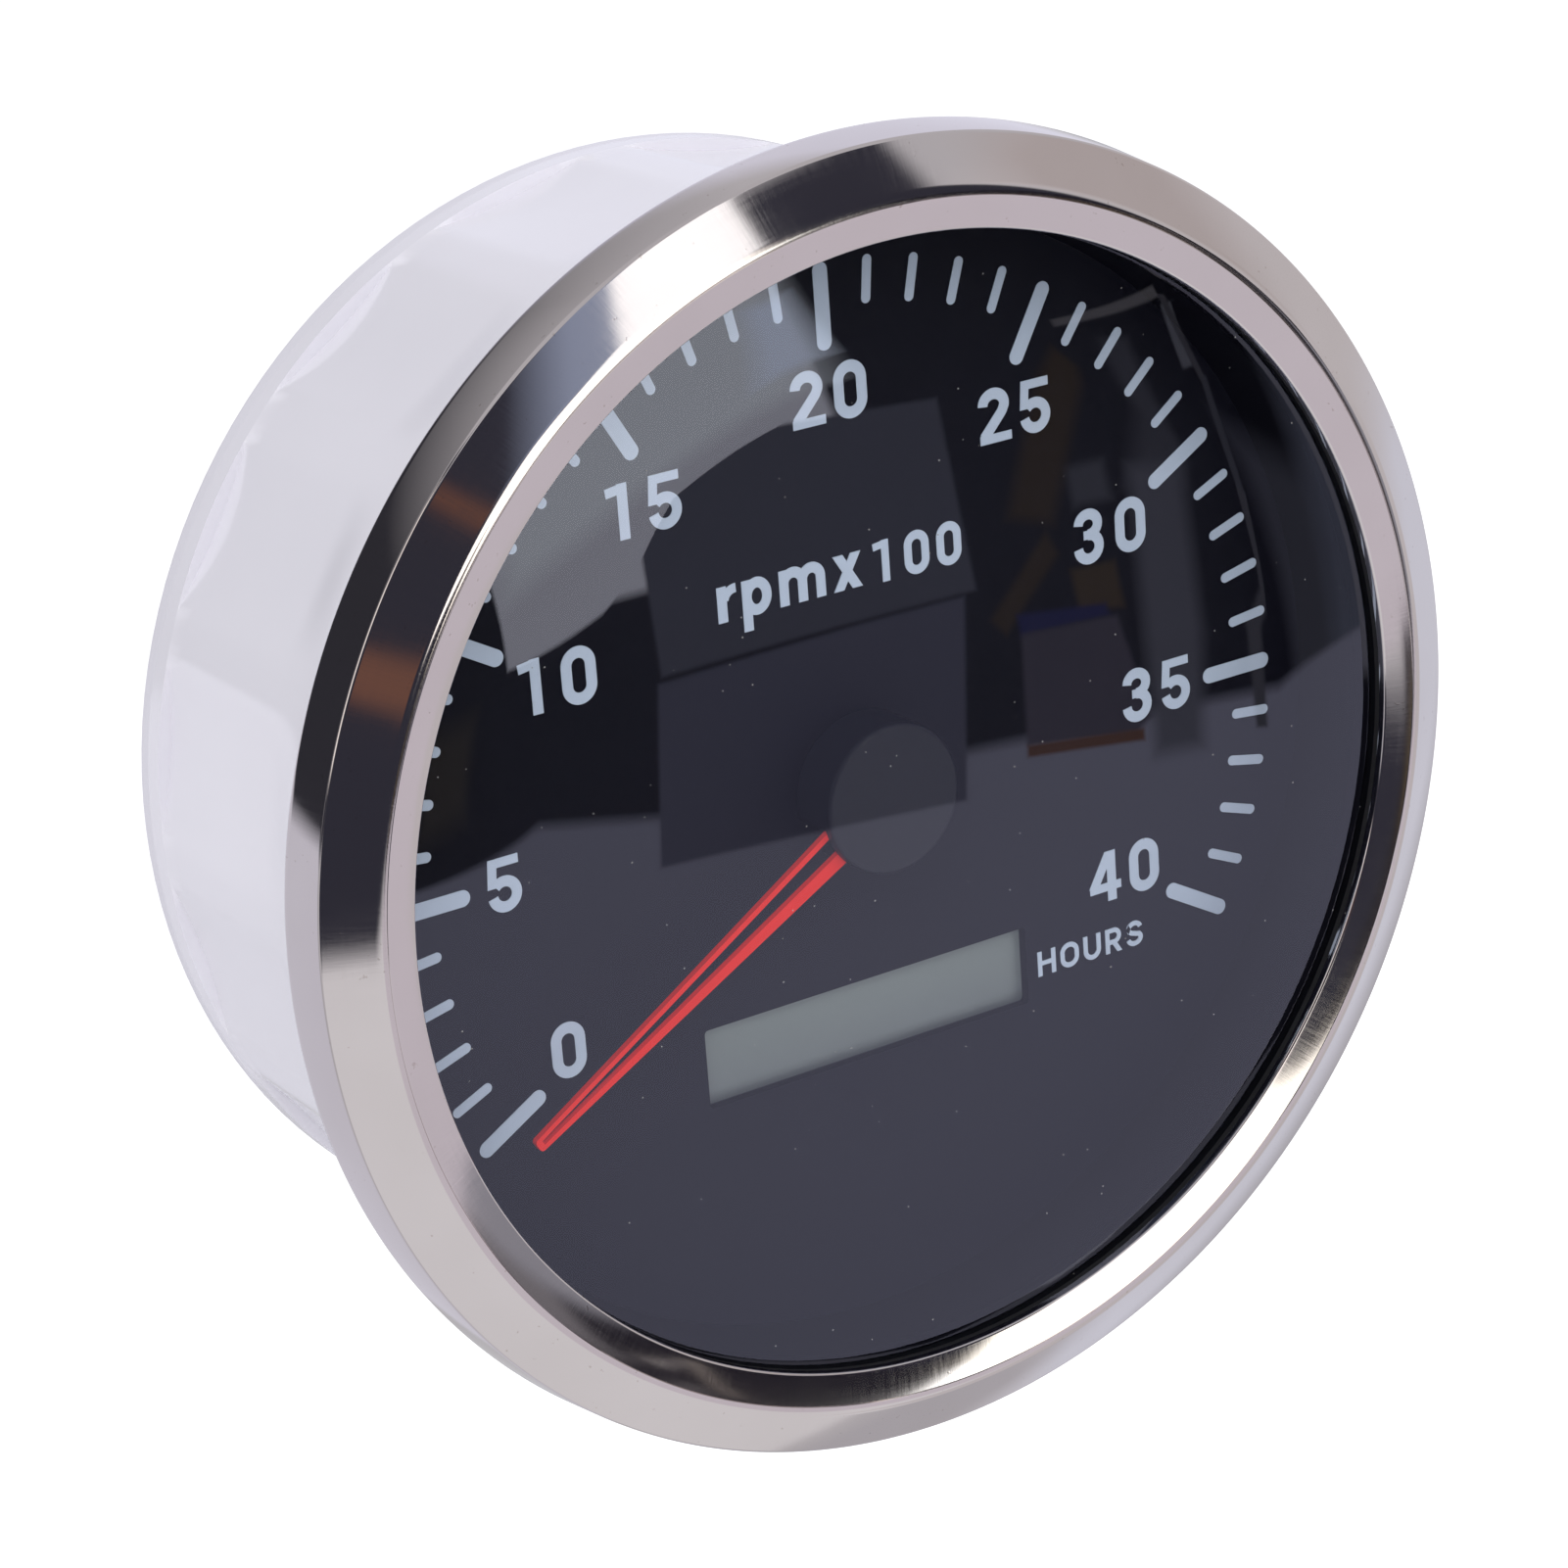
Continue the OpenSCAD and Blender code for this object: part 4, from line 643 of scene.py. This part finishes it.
caseSize = {"radius": 42.2, "backRadius": 42.05, "back": -30.6, "bore": 40.0, "frontBore": 41.2,
            "shelf": -9.6, "seat": 2.0, "rebate": 44.7, "flange": 46.35, "rim": 3.3, "sheet": 0.7,
            "rimRound": 0.3, "neck": 43.2, "cornerSteps": 4, "segments": 384, "sharp": 34,
            # heights of the points down the outside, closest where the flutes begin
            "rows": [0, -4.5, -7.5] + [-8.5 - 0.4 * step for step in range(18)]
            + [-18, -21, -24, -27, -28.88],
            "flutes": 16, "ridgeStart": 2.0, "ridge": 3.7, "depth": 0.95, "fluteFront": -8.0,
            "fluteInside": 41.95, "runout": 5.0, "shallow": 0.5, "soften": 0.15,
            "ledge": -29.0, "ledgeFront": -28.95, "ledgeEdge": -28.98, "ledgeRadius": 42.06,
            "ledgeRound": 0.06,
            "bossAngles": (30, 150, 210, 330), "bossPlace": 36.9, "bossRadius": 2.8,
            "bossLength": 13.0, "bossSides": 32, "boreRadius": 1.54, "boreEnd": -21.0,
            "webInner": 39.2, "webOuter": 40.5, "webHalf": 1.0}


def makeCase(size):
    spacing = 360 / size["flutes"]
    half = spacing / 2 - math.degrees(math.asin(size["ridge"] / 2 / size["radius"]))
    front, back = size["fluteFront"], size["back"]

    def flute(radius, height, angle):  # a flute is shallow at its front end and deepens to the back
        if radius < size["fluteInside"] or height > front or height < size["ledgeFront"]:
            return radius
        turn = (math.degrees(angle) - size["ridgeStart"]) % spacing - spacing / 2
        share = 1 - (turn / half) ** 2
        start = min(1.0, (front - height) / size["runout"])
        slope = size["shallow"] + (1 - size["shallow"]) * (front - height) / (front - size["ledge"])
        depth = size["depth"] * start * start * (3 - 2 * start) * slope
        return radius - depth * (share + math.hypot(share, size["soften"])) / 2

    lean = (size["radius"] - size["backRadius"]) / (front - back)
    wall = [(size["radius"] - lean * max(0.0, front - h), h, 0) for h in size["rows"]]
    flangeCorners = [(size["rebate"], size["rim"], 0), (size["flange"], size["rim"], size["rimRound"]),
                     (size["flange"], size["sheet"], 0), (size["neck"], size["sheet"], 0),
                     (size["neck"], 0, 0)]
    backCorners = [(size["ledgeRadius"], size["ledgeEdge"], size["ledgeRound"]),
                   (size["backRadius"], back, 0)]
    boreCorners = [(size["bore"], back, 0), (size["bore"], size["shelf"], 0),
                   (size["frontBore"], size["shelf"], 0), (size["frontBore"], size["seat"], 0),
                   (size["rebate"], size["seat"], 0)]
    outline = roundCorners(flangeCorners + wall + backCorners + boreCorners, size["cornerSteps"])
    piece = bmesh.new()
    turnOutline(piece, outline, size["segments"], shape=flute)
    top = back + size["bossLength"]
    boss = [(size["boreRadius"], back), (size["bossRadius"], back), (size["bossRadius"], top),
            (0, top), (0, size["boreEnd"]), (size["boreRadius"], size["boreEnd"])]
    inner, outer = size["webInner"], size["webOuter"]
    for degrees in size["bossAngles"]:  # a screw boss, and the web that ties it to the wall
        angle = math.radians(degrees)
        along, across = (math.cos(angle), math.sin(angle)), (-math.sin(angle), math.cos(angle))
        turnOutline(piece, boss, size["bossSides"], [size["bossPlace"] * part for part in along])
        corners = []
        for height in (back, top):
            for reach, side in ((inner, -1), (outer, -1), (outer, 1), (inner, 1)):
                x, z = [reach * a + side * size["webHalf"] * b for a, b in zip(along, across)]
                corners.append(piece.verts.new((x * millimetre, -height * millimetre, z * millimetre)))
        for side in range(4):
            ahead = (side + 1) % 4
            piece.faces.new((corners[side], corners[ahead], corners[ahead + 4], corners[side + 4]))
        piece.faces.new(corners[:4])
        piece.faces.new(corners[4:])
    mesh = closeMesh("caseBody", piece, finishes["caseMoulding"])
    body = shadePiece("caseBody", mesh, size["sharp"])
    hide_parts("case")


makeCase(caseSize)
print("turned pieces made")


# A Geometry Nodes tree for a part that repeats, with one named input for each length in millimetres
class Pattern:
    def __init__(self, name, lengths):
        self.tree = bpy.data.node_groups.new(name, "GeometryNodeTree")
        sockets = self.tree.interface
        sockets.new_socket("places", in_out="INPUT", socket_type="NodeSocketGeometry")
        self.lengths = {}  # the value of each input, by the socket's identifier
        for label, length in lengths.items():
            made = sockets.new_socket(label, in_out="INPUT", socket_type="NodeSocketFloat")
            self.lengths[made.identifier] = length * millimetre
        sockets.new_socket("geometry", in_out="OUTPUT", socket_type="NodeSocketGeometry")
        start = self.tree.nodes.new("NodeGroupInput")
        self.places = start.outputs["places"]
        self.inputs = [start.outputs[label] for label in lengths]

    def add(self, kind, settings=None, values=None, output=0):
        node = self.tree.nodes.new(kind)
        for name, setting in (settings or {}).items():
            setattr(node, name, setting)
        for name, value in (values or {}).items():
            for each in value if isinstance(value, list) else [value]:
                if isinstance(each, bpy.types.NodeSocket):
                    self.tree.links.new(each, node.inputs[name])
                else:
                    node.inputs[name].default_value = each
        return node.outputs[output]

    def sum(self, first, second, operation="ADD"):
        return self.add("ShaderNodeMath", {"operation": operation}, {0: first, 1: second})

    def less(self, first, second):
        return self.sum(first, second, "SUBTRACT")

    def times(self, first, second):
        return self.sum(first, second, "MULTIPLY")

    # A round bar along Y from start to the back, or a cone with a tip's radius
    def rod(self, radius, start, length, sides=32, tip=None):
        if tip is None:
            bar = self.add("GeometryNodeMeshCylinder", {"fill_type": "NGON"},
                           {"Vertices": sides, "Radius": radius, "Depth": length})
            start = self.sum(start, self.times(length, 0.5))
        else:
            bar = self.add("GeometryNodeMeshCone", {"fill_type": "NGON"},
                           {"Vertices": sides, "Radius Bottom": radius, "Radius Top": tip,
                            "Depth": length})
        return self.moved(bar, start)

    def moved(self, geometry, along):
        place = self.add("ShaderNodeCombineXYZ", None, {1: along})
        return self.add("GeometryNodeTransform", None,
                        {"Geometry": geometry, "Translation": place, "Rotation": (-math.pi / 2, 0, 0)})

    def finish(self, parts, material):
        joined = self.add("GeometryNodeJoinGeometry", None, {0: parts})
        spread = self.add("GeometryNodeInstanceOnPoints", None,
                          {"Points": self.places, "Instance": joined})
        real = self.add("GeometryNodeRealizeInstances", None, {0: spread})
        painted = self.add("GeometryNodeSetMaterial", None, {"Geometry": real, "Material": material})
        end = self.tree.nodes.new("NodeGroupOutput")
        self.tree.links.new(painted, end.inputs[0])

    def make(self, name, places):  # one plain mesh, with a part at each point in millimetres
        mesh = bpy.data.meshes.new(name + "Places")
        mesh.from_pydata([Vector(place) * millimetre for place in places], [], [])
        holder = bpy.data.objects.new(name + "Places", mesh)
        scene.collection.objects.link(holder)
        modifier = holder.modifiers.new("pattern", "NODES")
        modifier.node_group = self.tree
        for socket, length in self.lengths.items():
            modifier[socket] = length
        graph = bpy.context.evaluated_depsgraph_get()
        made = bpy.data.meshes.new_from_object(holder.evaluated_get(graph))
        made.name = name
        bpy.data.objects.remove(holder)
        return shadePiece(name, made, 30)


studSize = {"spacing": 56.0, "turnSteps": 24, "headSides": 6,
            # in pitches: the thread's half depth, the plain end, the tip and the thread's start
            "depthShare": 0.31, "plainShare": 1.6, "tipShare": 0.8, "startShare": 0.6,
            "rootShare": 1.9,  # the core is smaller than the thread by this many half depths
            "tipTaper": 0.75,
            "lengths": {"radius": 2.0, "pitch": 0.7, "length": 14.0, "foot": 32.0, "shank": 2.25,
                        "headStart": 25.6, "headLength": 2.4, "headRadius": 4.0}}


def makeStuds(size):
    pattern = Pattern("threadedStud", size["lengths"])
    radius, pitch, length, foot, shank, headStart, headLength, headRadius = pattern.inputs
    less, times = pattern.less, pattern.times
    depth = times(pitch, size["depthShare"])
    root = less(radius, times(depth, size["rootShare"]))
    tipLength = times(pitch, size["tipShare"])
    tipStart = less(length, tipLength)
    threadLength = less(length, times(pitch, size["plainShare"]))
    core = pattern.rod(root, foot, tipStart)
    tip = pattern.rod(root, pattern.sum(foot, tipStart), tipLength, tip=times(root, size["tipTaper"]))
    middle = less(radius, depth)
    turns = pattern.sum(threadLength, pitch, "DIVIDE")
    spiral = pattern.add("GeometryNodeCurveSpiral", None,
                         {"Resolution": size["turnSteps"], "Rotations": turns, "Start Radius": middle,
                          "End Radius": middle, "Height": threadLength})
    ridge = pattern.add("GeometryNodeCurvePrimitiveCircle", None, {"Resolution": 4, "Radius": depth})
    thread = pattern.add("GeometryNodeCurveToMesh", None,
                         {"Curve": spiral, "Profile Curve": ridge, "Fill Caps": True})
    wound = pattern.moved(thread, pattern.sum(foot, times(pitch, size["startShare"])))
    headEnd = pattern.sum(headStart, headLength)
    neck = pattern.rod(shank, headEnd, less(foot, headEnd))
    head = pattern.rod(headRadius, headStart, headLength, size["headSides"])
    pattern.finish([core, tip, wound, neck, head], finishes["studSteel"])
    studs = pattern.make("threadedStuds", [(side * size["spacing"] / 2, 0, 0) for side in (-1, 1)])
    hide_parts("mounting_studs")


makeStuds(studSize)

screwSize = {"angles": caseSize["bossAngles"], "place": caseSize["bossPlace"],
             "domeTaper": 0.72, "slotMargin": 1.1, "shankSides": 24,
             "lengths": {"radius": 2.775, "height": 1.8, "seat": 32.0, "crown": 0.75, "slot": 0.75,
                         "slotLength": 3.4, "slotDepth": 1.1, "shank": 1.5, "shankLength": 10.0}}


def makeCoverScrews(size):
    pattern = Pattern("crossHeadScrew", size["lengths"])
    radius, height, seat, crown, slot, slotLength, slotDepth, shank, shankLength = pattern.inputs
    less, times = pattern.less, pattern.times
    rim = less(height, crown)
    skirt = pattern.rod(radius, seat, rim)
    dome = pattern.rod(radius, pattern.sum(seat, rim), crown, tip=times(radius, size["domeTaper"]))
    head = pattern.add("GeometryNodeMeshBoolean", {"operation": "UNION"}, {1: [skirt, dome]})
    bottom = less(pattern.sum(seat, height), times(slotDepth, 0.5))
    deep = times(slotDepth, size["slotMargin"])
    bars = []
    for first, second in ((slot, slotLength), (slotLength, slot)):
        block = pattern.add("ShaderNodeCombineXYZ", None, {0: first, 1: second, 2: deep})
        bars.append(pattern.moved(pattern.add("GeometryNodeMeshCube", None, {"Size": block}), bottom))
    cut = pattern.add("GeometryNodeMeshBoolean", {"operation": "DIFFERENCE"}, {0: head, 1: bars})
    core = pattern.rod(shank, less(seat, shankLength), shankLength, size["shankSides"])
    pattern.finish([cut, core], finishes["screwZinc"])
    angles = [math.radians(degrees) for degrees in size["angles"]]
    places = [(size["place"] * math.cos(a), 0, size["place"] * math.sin(a)) for a in angles]
    screws = pattern.make("coverScrews", places)
    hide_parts("cover_screws")


makeCoverScrews(screwSize)
print("fasteners made")


# Printing: a figure is a few strokes, each with its points, width and ends, in millimetres from the
# figure's middle
def arc(centre, radii, start, end, steps=18):
    points = []
    for step in range(steps + 1):
        angle = math.radians(start + (end - start) * step / steps)
        points.append((centre[0] + radii[0] * math.cos(angle), centre[1] + radii[1] * math.sin(angle)))
    return points


def figureStrokes():
    loop = arc((0, 0.72), (0.95, 0.93), 0, 180) + arc((0, -0.72), (0.95, 0.93), 180, 360)
    hook = arc((-0.05, 0.78), (0.93, 0.82), 180, -12) + arc((-0.35, 0.83), (1.2, 1.1), -18, -38, 4)
    upper, lower = arc((0, 0.9), (0.87, 0.78), 178, -90), arc((0, -0.78), (0.93, 0.9), 90, -178)
    bowl = arc((0.02, -0.68), (0.93, 0.92), 138, -172, 26)
    return {
        "0": [(loop, 0.84, "loop")],
        "1": [([(0, -1.97), (0, 1.97)], 0.8, "level"), ([(-1.3, 1.45), (0.05, 1.63)], 0.68, "butt")],
        "2": [(hook + [(-0.98, -1.5)], 0.82, "butt"), ([(-1.32, -1.64), (1.4, -1.64)], 0.66, "butt")],
        "3": [(upper, 0.8, "butt"), (lower, 0.8, "butt"), ([(-0.42, 0.12), (0.1, 0.12)], 0.66, "butt")],
        "4": [([(0.6, -1.97), (0.6, 1.97)], 0.8, "level"),
              ([(-1.42, -0.82), (1.45, -0.82)], 0.66, "butt"),
              ([(0.5, 1.97), (-1.06, -0.7)], 0.78, "level")],
        "5": [([(-1.1, 1.64), (1.25, 1.64)], 0.66, "butt"),
              ([(-0.76, 1.97), (-0.93, -0.12)], 0.7, "level"), (bowl, 0.78, "butt")],
    }


printing = {
    "figures": [("0", -24.97, -13.18), ("5", -28.75, 0.13), ("1", -24.85, 13.3), ("0", -21.5, 13.27),
                ("1", -16.97, 23.75), ("5", -13.72, 23.77), ("2", -1.7, 28.3), ("0", 1.84, 28.3),
                ("2", 13.83, 23.87), ("5", 17.33, 23.85), ("3", 21.5, 13.2), ("0", 25.3, 13.25),
                ("3", 25.2, 0.18), ("5", 28.78, 0.2), ("4", 21.5, -13.2), ("0", 25.15, -13.2)],
    "small": [("1", 3.83, 15.5), ("0", 6.5, 15.5), ("0", 9.28, 15.5)],
    "smallScale": 0.775, "unitFoot": 14.15, "wordFoot": -19.35, "dialFace": -4.1, "thickness": 0.05,
    "stagger": 0.004,  # strokes that cross don't share a face
    "join": 1e-4,  # points closer than this are one
}


def unitStrokes():  # the letters in front of the hundred
    return [
        ([(-9.8, 0), (-9.8, 2.57)], 0.78, "butt"),
        (arc((-8.66, 1.42), (0.95, 0.88), 172, 88, 8), 0.66, "butt"),
        ([(-7.78, -1.08), (-7.78, 2.57)], 0.76, "butt"),
        (arc((-6.96, 1.3), (0.82, 0.98), 0, 360, 32)[:-1], 0.76, "loop"),
        ([(-4.72, 0), (-4.72, 2.57)], 0.76, "butt"),
        (arc((-3.95, 1.55), (0.77, 0.74), 172, 0) + [(-3.18, 0)], 0.76, "butt"),
        (arc((-2.42, 1.55), (0.75, 0.74), 165, 0) + [(-1.67, 0)], 0.76, "butt"),
        ([(-0.17, 2.57), (1.37, 0)], 0.72, "level"), ([(1.33, 2.57), (-0.2, 0)], 0.72, "level")]


def wordStrokes():
    oval = arc((17.9, 1.2), (0.66, 0.58), 0, 180) + arc((17.9, 0.76), (0.66, 0.58), 180, 360)
    cup = [(19.39, 1.95)] + arc((19.995, 0.76), (0.605, 0.59), 180, 360) + [(20.6, 1.95)]
    bowl = [(21.43, 1.77)] + arc((22.05, 1.31), (0.46, 0.46), 90, -90, 12) + [(21.43, 0.85)]
    snake = (arc((23.95, 1.36), (0.55, 0.42), 8, 180, 14) + arc((23.98, 1.4), (0.58, 0.42), 180, 240, 4)
             + [(24.2, 0.88)] + arc((23.95, 0.58), (0.57, 0.42), 40, -172, 16))
    return [([(15.17, 0), (15.17, 1.95)], 0.38, "butt"), ([(16.42, 0), (16.42, 1.95)], 0.38, "butt"),
            ([(15.17, 1.0), (16.42, 1.0)], 0.34, "butt"), (oval, 0.38, "loop"), (cup, 0.38, "butt"),
            ([(21.43, 0), (21.43, 1.95)], 0.38, "butt"), (bowl, 0.36, "butt"),
            ([(22.0, 0.85), (22.52, 0)], 0.38, "level"), (snake, 0.37, "butt")]


# A flat bar along the points, a closed solid; its ends are butt, level or joined in a loop
def layStroke(piece, points, width, ends, low, high):
    loop = ends == "loop"
    count = len(points)
    left, right = [], []
    for place in range(count):
        here = points[place]
        before = points[place - 1] if loop or place > 0 else None
        after = points[(place + 1) % count] if loop or place < count - 1 else None
        ahead = Vector((0, 0))
        if after is not None:
            ahead += (after - here).normalized()
        if before is not None:
            ahead += (here - before).normalized()
        ahead.normalize()
        normal = Vector((-ahead.y, ahead.x)) * width / 2
        if before is not None and after is not None:
            normal /= max(0.5, (after - here).normalized().dot(ahead))
        sides = [here + normal, here - normal]
        if ends == "level" and (before is None or after is None):
            sides = [side - ahead * (side.y - here.y) / ahead.y for side in sides]
        left.append(sides[0])
        right.append(sides[1])
    verts = []
    for a, b in zip(left, right):
        verts.append([piece.verts.new((p.x * millimetre, -h * millimetre, p.y * millimetre))
                      for p, h in ((a, low), (b, low), (b, high), (a, high))])
    for place in range(count if loop else count - 1):
        first, second = verts[place], verts[(place + 1) % count]
        for side in range(4):
            piece.faces.new((first[side], first[(side + 1) % 4], second[(side + 1) % 4], second[side]))
    if not loop:
        piece.faces.new(verts[0])
        piece.faces.new(verts[-1])


def printDial(look):
    piece = bmesh.new()
    low, high = look["dialFace"], look["dialFace"] + look["thickness"]

    def stamp(strokes, scale, across, up):
        for order, (points, width, ends) in enumerate(strokes):
            moved = [Vector((across + x * scale, up + y * scale)) for x, y in points]
            if ends == "loop" and (moved[0] - moved[-1]).length < look["join"]:
                moved.pop()
            kept = [moved[0]]
            for point in moved[1:]:
                if (point - kept[-1]).length > look["join"]:
                    kept.append(point)
            layStroke(piece, kept, width * scale, ends, low, high + order * look["stagger"])

    strokes = figureStrokes()
    for figure, across, up in look["figures"]:
        stamp(strokes[figure], 1.0, across, up)
    for figure, across, up in look["small"]:
        stamp(strokes[figure], look["smallScale"], across, up)
    stamp(unitStrokes(), 1.0, 0, look["unitFoot"])
    stamp(wordStrokes(), 1.0, 0, look["wordFoot"])
    figures = fixPiece("dialFigures", closeMesh("dialFigures", piece, finishes["scaleInk"]))


printDial(printing)
print("dial printed")
